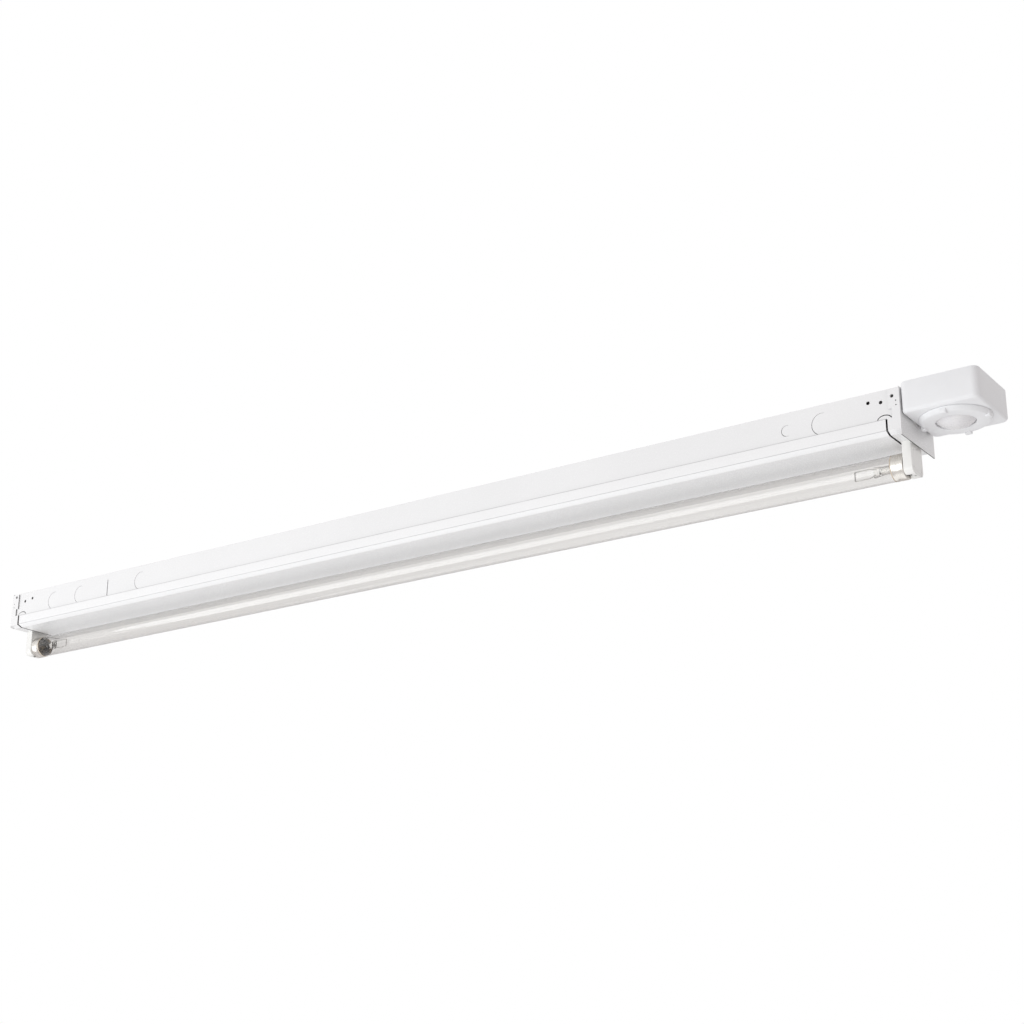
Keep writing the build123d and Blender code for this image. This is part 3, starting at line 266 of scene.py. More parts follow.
FINISHES: tuple[Finish, ...] = (
    Finish("white_enamel", (0.865, 0.865, 0.865), (0.845, 0.845, 0.845), 0.2, 0.3, 9.0, 1100.0, 0.2),
    # A little lighter than white_enamel, so the cover reads brighter than the channel wall beside it.
    Finish("cover_enamel", (0.89, 0.89, 0.89), (0.875, 0.875, 0.875), 0.2, 0.3, 9.0, 1100.0, 0.2),
    # Painted shade: a dark finish on cut edges, standing for the shadowed gaps and crevices beside them.
    Finish("painted_gap_shade", (0.17, 0.165, 0.16), (0.11, 0.105, 0.1), 0.35, 0.5, 160.0, 2400.0, 0.3),
    # Painted shade: the grey of the lines along each skirt's top edge and in the cover's fold crease.
    Finish("painted_shade_line", (0.62, 0.62, 0.62), (0.55, 0.55, 0.55), 0.3, 0.4, 60.0, 2400.0, 0.2),
    metal("zinc_steel", (0.66, 0.66, 0.64)),
    plastic("ground_green", (0.05, 0.30, 0.12)),
    Finish("holder_white", (0.88, 0.875, 0.85), (0.85, 0.845, 0.82), 0.18, 0.28, 60.0, 2500.0, 0.1),
    plastic("rotor_dark", (0.035, 0.033, 0.032), 0.6, 0.35, 0.5),
    metal("contact_brass", (0.72, 0.52, 0.22)),
    Finish(
        "clear_glass", (0.88, 0.87, 0.86), (0.85, 0.84, 0.83), 0.0, 0.03, 6.0, 260.0, 0.05,
        transmission=1.0, ior=1.46, grain=Grain.ALONG_X,
    ),
    Finish(
        "stem_glass", (0.93, 0.92, 0.90), (0.88, 0.87, 0.85), 0.0, 0.05, 90.0, 700.0, 0.05,
        transmission=1.0,
    ),
    Finish("cap_cement", (0.62, 0.52, 0.40), (0.50, 0.40, 0.29), 0.6, 0.8, 220.0, 2200.0, 0.4),
    # Painted shade for the shaded inside of the lamp caps, seen through the glass.
    Finish("painted_cap_shade", (0.13, 0.09, 0.06), (0.08, 0.055, 0.038), 0.5, 0.7, 220.0, 2200.0, 0.4),
    Finish("electrode_wire", (0.58, 0.57, 0.55), (0.34, 0.32, 0.30), 0.3, 0.5, 200.0, 2500.0, 0.2, 1.0),
    Finish(
        "cap_metal", (0.77, 0.74, 0.70), (0.66, 0.63, 0.585), 0.22, 0.38, 60.0, 1600.0, 0.2, 1.0,
        grain=Grain.ROUND_X,
    ),
    # The lamp disc's brown, made much lighter than the dark phenolic: partly its own colour, partly painted
    # light for the little light that reaches into the cap.
    Finish("disc_brown", (0.78, 0.64, 0.48), (0.66, 0.52, 0.37), 0.4, 0.55, 200.0, 2500.0, 0.25),
    metal("pin_brass", (0.74, 0.58, 0.30)),
    Finish("ballast_enamel", (0.80, 0.80, 0.79), (0.76, 0.76, 0.75), 0.28, 0.4, 18.0, 1100.0, 0.25),
    plastic("bushing_black", (0.02, 0.02, 0.02), 0.6, 0.4, 0.55),
    Finish("board_green", (0.03, 0.20, 0.08), (0.02, 0.14, 0.055), 0.2, 0.35, 260.0, 2200.0, 0.3),
    Finish(
        "choke_tape", (0.62, 0.50, 0.10), (0.50, 0.38, 0.07), 0.25, 0.4, 120.0, 1500.0, 0.2,
        grain=Grain.ROUND_X,
    ),
    plastic("capacitor_sleeve", (0.02, 0.025, 0.05), 0.7, 0.2, 0.3),
    plastic("wire_red", (0.50, 0.03, 0.025), 0.8, 0.35, 0.5),
    plastic("wire_blue", (0.03, 0.09, 0.42), 0.8, 0.35, 0.5),
    plastic("wire_black", (0.02, 0.02, 0.02), 0.7, 0.35, 0.5),
    plastic("wire_green", (0.03, 0.30, 0.07), 0.8, 0.35, 0.5),
    plastic("connector_orange", (0.75, 0.25, 0.03), 0.85, 0.35, 0.5),
    Finish("sensor_white", (0.85, 0.855, 0.865), (0.83, 0.835, 0.845), 0.34, 0.46, 40.0, 2600.0, 0.3),
    Finish("lens_white", (0.80, 0.79, 0.79), (0.74, 0.73, 0.745), 0.24, 0.36, 90.0, 600.0, 0.5),
    plastic("gasket_rubber", (0.72, 0.71, 0.70), 0.9, 0.6, 0.8),
    metal("detector_can", (0.70, 0.70, 0.68)),
    plastic("relay_black", (0.025, 0.025, 0.028)),
    plastic("dial_blue", (0.03, 0.10, 0.42)),
    plastic("dial_white", (0.84, 0.84, 0.80), 0.95),
)


class Dresser:
    """Holds the finishes and gives them to nodes and new pieces."""

    def __init__(self, packed: dict) -> None:
        """Builds every finish.

        Args:
            packed: What the frame gave.
        """
        surface = SurfaceGroup()
        self.packed = packed
        self.materials = {finish.name: finish.build(surface) for finish in FINISHES}
        self.slots = {row["node"]: row["material_slot"] for row in packed["record"]["subparts"]}

    def dress(self, piece: bpy.types.Object, *finishes: str) -> None:
        """Gives a piece its finish, and the finishes that single faces of it take.

        Args:
            piece: What is dressed.
            finishes: Its finish, then those of single faces.
        """
        piece.data.materials.clear()
        for finish in finishes:
            piece.data.materials.append(self.materials[finish])

    def dress_nodes(self) -> None:
        """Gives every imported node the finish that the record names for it."""
        for name, node in self.packed["nodes"].items():
            for held in node.material_slots:
                held.material = self.materials[self.slots[name]]
            if not node.material_slots:
                node.data.materials.append(self.materials[self.slots[name]])
            LOG.info("dressed node %s in %s", name, self.slots[name])


class Bench:
    """Hand steps on one piece: it starts from a primitive or a traced node and is shaped in edit mode."""

    FLAT_DEGREES = 0.4

    def __init__(self, name: str) -> None:
        """Names the piece.

        Args:
            name: The piece's name in the scene.
        """
        self.name = name
        self.piece: bpy.types.Object | None = None

    def take(self) -> None:
        """Names the new primitive and brings its place, turn and size into its mesh."""
        self.piece = bpy.context.object
        self.piece.name = self.name
        self.piece.data.name = self.name
        bpy.ops.object.transform_apply(location=True, rotation=True, scale=True)

    def block(self, low: Vector, high: Vector) -> "Bench":
        """Starts from a box between two corners.

        Args:
            low: The corner with the lowest X, Y and Z.
            high: The opposite corner.

        Returns:
            This bench.
        """
        bpy.ops.object.select_all(action="DESELECT")
        bpy.ops.mesh.primitive_cube_add(size=1.0, location=(low + high) / 2, scale=high - low)
        self.take()
        return self

    def ring(self, centre: Vector, along: Vector, radius: float, sides: int, filled: bool) -> None:
        """Starts from a circle that faces along an axis.

        Args:
            centre: The circle's centre.
            along: The axis that it faces along.
            radius: Its radius.
            sides: How many sides it has.
            filled: Whether it has a face.
        """
        bpy.ops.object.select_all(action="DESELECT")
        bpy.ops.mesh.primitive_circle_add(
            vertices=sides,
            radius=radius,
            fill_type="NGON" if filled else "NOTHING",
            location=centre,
            rotation=along.to_track_quat("Z", "Y").to_euler(),
        )
        self.take()

    def draw(self, centre: Vector, along: Vector, outline: Outline, sides: int, closed: bool) -> "Bench":
        """Draws a ring out through the points of an outline.

        Args:
            centre: Where the distances count from.
            along: The axis, X or Z.
            outline: Rows of distance and radius, or of distance and two radii for a flattened place.
            sides: How many sides the ring has.
            closed: Whether it is brought back to its start, as a wall's outline is.

        Returns:
            This bench.
        """
        reached = [*outline, outline[0]] if closed else outline
        rows = [(row[0], row[1], row[-1]) for row in reached]
        self.ring(centre + along * rows[0][0], along, rows[0][1], sides, filled=not closed)
        self.edit()
        bpy.ops.mesh.select_all(action="SELECT")
        for before, reach in zip(rows, rows[1:]):
            step = along * (reach[0] - before[0])
            bpy.ops.mesh.extrude_region_move(TRANSFORM_OT_translate={"value": step})
            first, second = reach[1] / before[1], reach[2] / before[2]
            value = (1.0, first, second) if along.x else (first, second, 1.0)
            if (first, second) != (1.0, 1.0):
                bpy.ops.transform.resize(value=value, center_override=centre + along * reach[0])
        bpy.ops.object.mode_set(mode="OBJECT")
        return self.close_up()

    def close_up(self) -> "Bench":
        """Merges doubled points and turns all faces outwards."""
        self.whole(bpy.ops.mesh.remove_doubles, threshold=NEAR)
        return self.whole(bpy.ops.mesh.normals_make_consistent, inside=False)

    def trace(self, node: str) -> "Bench":
        """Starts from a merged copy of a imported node, with its flat faces made whole.

        Args:
            node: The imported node.

        Returns:
            This bench.
        """
        self.adopt(frame["nodes"][node].data)
        self.whole(bpy.ops.mesh.remove_doubles, threshold=NEAR)
        return self.whole(bpy.ops.mesh.dissolve_limited, angle_limit=math.radians(self.FLAT_DEGREES))

    def adopt(self, mesh: bpy.types.Mesh) -> None:
        """Takes a copy of a mesh as the piece.

        Args:
            mesh: The mesh that is copied.
        """
        self.piece = bpy.data.objects.new(self.name, mesh.copy())
        self.piece.data.name = self.name
        bpy.context.scene.collection.objects.link(self.piece)

    def hold(self) -> None:
        """Makes the piece the active one, and the only one selected."""
        bpy.ops.object.select_all(action="DESELECT")
        self.piece.select_set(True)
        bpy.context.view_layer.objects.active = self.piece

    def edit(self) -> None:
        """Opens the piece in edit mode."""
        self.hold()
        bpy.ops.object.mode_set(mode="EDIT")
        bpy.ops.mesh.select_mode(type="VERT")

    def whole(self, step: Callable[..., object], **settings: object) -> "Bench":
        """Takes an edit step on the whole mesh.

        Args:
            step: The mesh or transform operator.
            settings: What the operator is given.

        Returns:
            This bench.
        """
        self.edit()
        bpy.ops.mesh.select_all(action="SELECT")
        step(**settings)
        bpy.ops.object.mode_set(mode="OBJECT")
        return self

    def pick(self, kind: Kind, test: Test) -> None:
        """Selects, in edit mode, the edges or faces that pass a test.

        Args:
            kind: Edges or faces.
            test: Takes an item's middle and its direction, a face's being its normal.
        """
        bpy.ops.mesh.select_mode(type=kind.value)
        bpy.ops.mesh.select_all(action="DESELECT")
        mesh = bmesh.from_edit_mesh(self.piece.data)
        if kind is Kind.FACE:
            for face in mesh.faces:
                face.select_set(test(face.calc_center_median(), face.normal))
        else:
            for edge in mesh.edges:
                ends = [corner.co for corner in edge.verts]
                edge.select_set(test((ends[0] + ends[1]) / 2, (ends[1] - ends[0]).normalized()))
        bmesh.update_edit_mesh(self.piece.data)

    def round_edges(self, test: Test, width: float, segments: int) -> "Bench":
        """Rounds the edges that pass a test.

        Args:
            test: Takes an edge's middle and direction.
            width: How far the round reaches.
            segments: How many strips it has.

        Returns:
            This bench.
        """
        self.edit()
        self.pick(Kind.EDGE, test)
        bpy.ops.mesh.bevel(offset=width, segments=segments, affect="EDGES")
        bpy.ops.object.mode_set(mode="OBJECT")
        return self

    def modify(self, kind: str, **settings: object) -> "Bench":
        """Adds a modifier with its settings and applies it.

        Args:
            kind: The modifier's type.
            settings: Its properties by name.

        Returns:
            This bench.
        """
        self.hold()
        change = self.piece.modifiers.new(kind.lower(), kind)
        for key, value in settings.items():
            setattr(change, key, value)
        bpy.ops.object.modifier_apply(modifier=change.name)
        return self

    def soften(self, width: float, segments: int = 2, angle: float = 35.0) -> "Bench":
        """Rounds every edge sharper than an angle by a little.

        Args:
            width: How far the round reaches.
            segments: How many strips it has.
            angle: The least angle between faces that is rounded, in degrees.

        Returns:
            This bench.
        """
        return self.modify(
            "BEVEL", width=width, segments=segments, limit_method="ANGLE",
            angle_limit=math.radians(angle), use_clamp_overlap=True,
        )

    def cut(self, other: "Bench") -> "Bench":
        """Takes another piece's shape out of this one.

        Args:
            other: The piece that cuts, which is used up.

        Returns:
            This bench.
        """
        self.modify("BOOLEAN", object=other.piece, operation="DIFFERENCE", solver="EXACT")
        bpy.data.objects.remove(other.piece)
        return self

    def join(self, *others: "Bench") -> "Bench":
        """Makes other pieces part of this one.

        Args:
            others: The pieces that are taken in.

        Returns:
            This bench.
        """
        self.hold()
        for other in others:
            other.piece.select_set(True)
        bpy.ops.object.join()
        return self

    def copy(self, name: str) -> "Bench":
        """Copies the piece with a mesh of its own.

        Args:
            name: The copy's name.

        Returns:
            A bench with the copy.
        """
        other = Bench(name)
        other.adopt(self.piece.data)
        return other

    def turn(self, angle: float, axis: str, centre: Vector) -> "Bench":
        """Turns the whole mesh round a centre."""
        return self.whole(bpy.ops.transform.rotate, value=angle, orient_axis=axis, center_override=centre)

    def around(self, count: int, axis: str, centre: Vector) -> list["Bench"]:
        """Copies the piece evenly round a centre and puts the first one away.

        Args:
            count: How many copies there are.
            axis: The axis that they stand round, X or Z.
            centre: A point on the axis.

        Returns:
            The copies.
        """
        made = [
            self.copy(f"{self.name}_{index}").turn(math.tau * index / count, axis, centre)
            for index in range(count)
        ]
        bpy.data.objects.remove(self.piece)
        return made

    def mirrored(self, name: str) -> "Bench":
        """Copies the piece to the fixture's other end.

        Args:
            name: The copy's name.

        Returns:
            A bench with the copy.
        """
        other = self.copy(name)
        other.whole(bpy.ops.transform.resize, value=(-1.0, 1.0, 1.0), center_override=(0.0, 0.0, 0.0))
        return other.whole(bpy.ops.mesh.normals_make_consistent, inside=False)

    def mark(self, index: int, test: Test) -> None:
        """Gives the faces that pass a test another of the piece's finishes.

        Args:
            index: The finish's place in the piece's list.
            test: Takes a face's middle and normal.
        """
        for face in self.piece.data.polygons:
            if test(face.center, face.normal):
                face.material_index = index

    def smooth(self, angle: float = 40.0) -> "Bench":
        """Shades the piece smooth up to an angle.

        Args:
            angle: The sharpest angle that is smoothed, in degrees.

        Returns:
            This bench.
        """
        self.hold()
        bpy.ops.object.shade_smooth_by_angle(angle=math.radians(angle))
        return self

    def deliver(self, dresser: Dresser, body: str, finishes: Sequence[str], *nodes: str) -> None:
        """Dresses the piece and hangs it on its body.

        Args:
            dresser: Holds the finishes.
            body: The body that the piece rides on.
            finishes: The piece's finish, and those of single faces after it.
            nodes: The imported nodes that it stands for.
        """
        dresser.dress(self.piece, *finishes)
        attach(self.piece, body)
        for node in nodes:
            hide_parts(node)
        LOG.info("built %s on %s, %d faces", self.name, body, len(self.piece.data.polygons))


def gather(name: str, parts: Sequence[Bench]) -> Bench:
    """Makes one piece of several and names it.

    Args:
        name: The whole's name.
        parts: The benches.

    Returns:
        The bench with the whole.
    """
    whole = parts[0].join(*parts[1:])
    whole.name = name
    whole.piece.name = name
    return whole


def arc(
    centre: tuple[float, float], radius: float, start: float, end: float, steps: int
) -> list[tuple[float, float]]:
    """Points of an arc in a drawn outline.

    Args:
        centre: The arc's centre, as distance and radius.
        radius: The arc's own radius.
        start: First angle in degrees, from the distance axis.
        end: Last angle in degrees.
        steps: How many pieces it has.

    Returns:
        The points, both ends with them.
    """
    turns = [math.radians(start + (end - start) * index / steps) for index in range(steps + 1)]
    return [(centre[0] + radius * math.cos(turn), centre[1] + radius * math.sin(turn)) for turn in turns]


def rod(name: str, points: Sequence[Vector], radius: float) -> Bench:
    """Makes a round wire through points, from a curve that is made a mesh.

    Args:
        name: The piece's name.
        points: The wire's route.
        radius: The wire's radius.

    Returns:
        The bench with the wire on it.
    """
    bpy.ops.object.select_all(action="DESELECT")
    bpy.ops.curve.primitive_nurbs_path_add()
    curve = bpy.context.object.data
    curve.splines.clear()
    spline = curve.splines.new("NURBS")
    spline.points.add(len(points) - 1)
    for point, place in zip(spline.points, points):
        point.co = (*place, 1.0)
    spline.order_u = 3
    spline.use_endpoint_u = True
    curve.dimensions = "3D"
    curve.bevel_depth = radius
    curve.bevel_resolution = 3
    curve.use_fill_caps = True
    bpy.ops.object.convert(target="MESH")
    wire = Bench(name)
    wire.take()
    return wire.close_up()


@dataclass
class SheetMetal:
    """The folded white pieces: snap cover and both end caps, with their screws."""

    dresser: Dresser
    cover_sheet: float = 0.7 * MM
    lip_run: float = 6.3 * MM
    lip_rise: float = 2.8 * MM
    fold_radius: float = 0.9 * MM
    # Height of the strip of painted shade along each skirt's top edge.
    painted_shade_line: float = 0.6 * MM
    ear_reach: float = 6.0 * MM
    recess_width: float = 0.9 * MM
    recess_depth: float = 1.2 * MM

    def build(self) -> None:
        """Builds every piece."""
        self.cover()
        self.end_cap("right", 1.0)
        self.end_cap("left", -1.0)
        self.screws("end_cap_screws", 4, 3.5 * MM)
        self.screws("ballast_screws", 2, 3.5 * MM)
        self.screws("ground_screw", 1, 3.5 * MM)

    def cover(self) -> None:
        """The snap cover, folded up from its underside: two sloping lips and two skirts, with painted shade
        in a line along each skirt's top, in the crease above each lip and on its cut ends.
        """
        low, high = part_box("channel_cover")
        inner = high.y - self.lip_run
        bench = Bench("snap_cover")
        bpy.ops.object.select_all(action="DESELECT")
        bpy.ops.mesh.primitive_plane_add(size=1.0, location=(0.0, 0.0, low.z))
        bpy.context.object.scale = (high.x - low.x, 2.0 * inner, 1.0)
        bench.take()
        bench.edit()
        for side in (-1.0, 1.0):
            bench.pick(
                Kind.EDGE, lambda middle, way: abs(way.x) > 0.9 and abs(middle.y - side * inner) < NEAR
            )
            # Each skirt rises in two steps; the last one is the strip that takes painted shade.
            for step in (
                Vector((0.0, side * self.lip_run, self.lip_rise)),
                Vector((0.0, 0.0, high.z - low.z - self.lip_rise - self.painted_shade_line)),
                Vector((0.0, 0.0, self.painted_shade_line)),
            ):
                bpy.ops.mesh.extrude_region_move(TRANSFORM_OT_translate={"value": step})
        bpy.ops.object.mode_set(mode="OBJECT")
        bench.whole(bpy.ops.mesh.normals_make_consistent, inside=False)
        if bench.piece.data.polygons[0].normal.z > 0.0:
            bench.whole(bpy.ops.mesh.flip_normals)
        folds = (low.z, low.z + self.lip_rise)
        bench.round_edges(
            lambda middle, way: abs(way.x) > 0.9 and min(abs(middle.z - fold) for fold in folds) < NEAR,
            self.fold_radius,
            4,
        )
        bench.modify("SOLIDIFY", thickness=self.cover_sheet, offset=-1.0, use_even_offset=True)
        top = high.z - self.painted_shade_line
        # The second and third finishes are painted shade: grey lines at the skirt top and fold, dark on the
        # cut ends.
        finishes = ("cover_enamel", "painted_shade_line", "painted_gap_shade")
        bench.smooth().deliver(self.dresser, "cover", finishes, "channel_cover")
        # Painted shade: a grey line along the top of each skirt, where it stands off the channel wall.
        bench.mark(1, lambda middle, normal: middle.z > top)
        fold = low.z + self.lip_rise
        # Painted shade in the crease where each skirt folds into its lip.
        bench.mark(
            1,
            lambda middle, normal: fold < middle.z < fold + self.fold_radius
            and 0.05 < -normal.z < 0.9,
        )
        # Painted shade on the cover's cut ends, for the dark gap beside the end caps.
        bench.mark(2, lambda middle, normal: abs(normal.x) > 0.9)

    def end_cap(self, end: str, side: float) -> None:
        """One end cap: its cut edges towards the cover carry painted shade for the dark crevice beside them,
        and at the right end so does the plate's bottom edge.

        Args:
            end: Which end, left or right.
            side: -1 at the left, 1 at the right.
        """
        node = f"end_cap_{end}"
        low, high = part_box(node)
        inner = low.x if side > 0.0 else high.x
        bench = Bench(f"folded_end_cap_{end}").trace(node)
        bench.smooth(30.0).deliver(self.dresser, "fixture", ("white_enamel", "painted_gap_shade"), node)
        # Painted shade on the ears' cut edges, for the dark crevice between each ear and the channel.
        bench.mark(
            1,
            lambda middle, normal: normal.x * side < -0.9 and abs(middle.x - inner) < self.ear_reach,
        )
        foot = low.z + 0.01 * MM
        # Painted shade on the plate's bottom edge, for the shadowed gap between the plate and the
        # lampholder.
        if end == "right":
            bench.mark(1, lambda middle, normal: normal.z < -0.9 and middle.z < foot)

    def screws(self, node: str, count: int, shank: float) -> None:
        """Pan head screws with a cross recess, one mesh in all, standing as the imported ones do.

        Args:
            node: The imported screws.
            count: How many the node holds.
            shank: The shank's diameter.
        """
        places = solid_middles(node, count)
        low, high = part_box(node)
        head_height = 2.2 * MM
        head = 3.4 * MM
        made = []
        for number, place in enumerate(places):
            foot = Vector((place.x, place.y, low.z))
            rise = arc((1.2 * MM, head - 1.2 * MM), 1.2 * MM, 180.0, 90.0, 4)
            outline = [(0.02 * MM, head * 0.35), *rise, (head_height, head)]
            turns = 9
            length = high.z - low.z - head_height
            outline.append((head_height, shank / 2))
            for step in range(turns):
                level = head_height + length * (step + 0.5) / turns
                outline.append((level, shank / 2 * (1.0 if step % 2 else 0.86)))
            outline.append((high.z - low.z, shank * 0.36))
            screw = Bench(f"{node}_{number}").draw(foot, UP, outline, 32, closed=False)
            for across in (Vector((head * 0.55, self.recess_width / 2, self.recess_depth)),
                           Vector((self.recess_width / 2, head * 0.55, self.recess_depth))):
                screw.cut(Bench("recess").block(foot - across, foot + across))
            made.append(screw)
        whole = gather(f"{node}_turned", made)
        whole.smooth(35.0).deliver(self.dresser, "fixture", (self.dresser.slots[node],), node)


def solid_middles(node: str, count: int) -> list[Vector]:
    """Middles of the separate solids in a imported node, from which of its points hang together.

    Args:
        node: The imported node.
        count: How many solids it holds.

    Returns:
        One middle for each solid, in order of X and then Y.
    """
    tally: list[list[Vector]] = []
    mesh = bmesh.new()
    mesh.from_mesh(frame["nodes"][node].data)
    bmesh.ops.remove_doubles(mesh, verts=mesh.verts[:], dist=NEAR)
    left = set(mesh.verts)
    while left:
        reach = [left.pop()]
        for here in reach:
            near = {edge.other_vert(here) for edge in here.link_edges} & left
            left -= near
            reach.extend(near)
        tally.append([here.co.copy() for here in reach])
    mesh.free()
    middles = []
    for found in sorted(tally, key=len, reverse=True)[:count]:
        spans = [[place[axis] for place in found] for axis in range(3)]
        middles.append(Vector([(min(span) + max(span)) / 2 for span in spans]))
    return sorted(middles, key=lambda place: (round(place.x, 4), round(place.y, 4)))


@dataclass
class Lampholders:
    """The two moulded holders and the rotors that turn in them."""

    dresser: Dresser
    edge: float = 0.55 * MM
    bore: float = 9.8 * MM
    mark_radius: float = 0.75 * MM
    mark_depth: float = 0.5 * MM

    def build(self) -> None:
        """Builds both holders and both rotors."""
        low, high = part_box("lamp_glass")
        self.axis_z = (low.z + high.z) / 2
        for end, side in (("right", 1.0), ("left", -1.0)):
            self.holder(end, side)
            self.rotor(end)

    def holder(self, end: str, side: float) -> None:
        """One moulded body with small round marks in its outer face.

        Args:
            end: Which end, left or right.
            side: -1 at the left, 1 at the right.
        """
        node = f"lampholder_{end}"
        low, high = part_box(node)
        outer = high.x if side > 0.0 else low.x
        bench = Bench(f"moulded_holder_{end}").trace(node)
        for across, rise in ((-8.6 * MM, 6.0 * MM), (8.2 * MM, 5.2 * MM), (-6.0 * MM, 24.0 * MM)):
            pit = Bench("pit").draw(
                Vector((outer, across, low.z + rise)),
                ALONG,
                ((-self.mark_depth, self.mark_radius), (self.mark_depth, self.mark_radius)),
                20,
                closed=False,
            )
            bench.cut(pit)
        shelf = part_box("channel_cover")[0].z - self.edge
        faces = (low.x, high.x)
        bench.round_edges(
            lambda middle, way: middle.z < shelf and min(abs(middle.x - face) for face in faces) < NEAR
            and abs(way.x) < 0.1 and math.hypot(middle.y, middle.z - self.axis_z) > self.bore,
            self.edge,
            3,
        )
        bench.smooth().deliver(self.dresser, "fixture", ("holder_white",), node)

    def rotor(self, end: str) -> None:
        """One dark rotor with softened edges round its slot.

        Args:
            end: Which end, left or right.
        """
        node = f"rotor_{end}"
        bench = Bench(f"turning_rotor_{end}").trace(node).soften(0.3 * MM, 2, 40.0)
        bench.smooth().deliver(self.dresser, node_body(node), ("rotor_dark",), node)


def node_body(node: str) -> str:
    """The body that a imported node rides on."""
    bodies = frame["record"]["behaviour"]["bodies"]
    return next(body for body, nodes in bodies.items() if node in nodes)


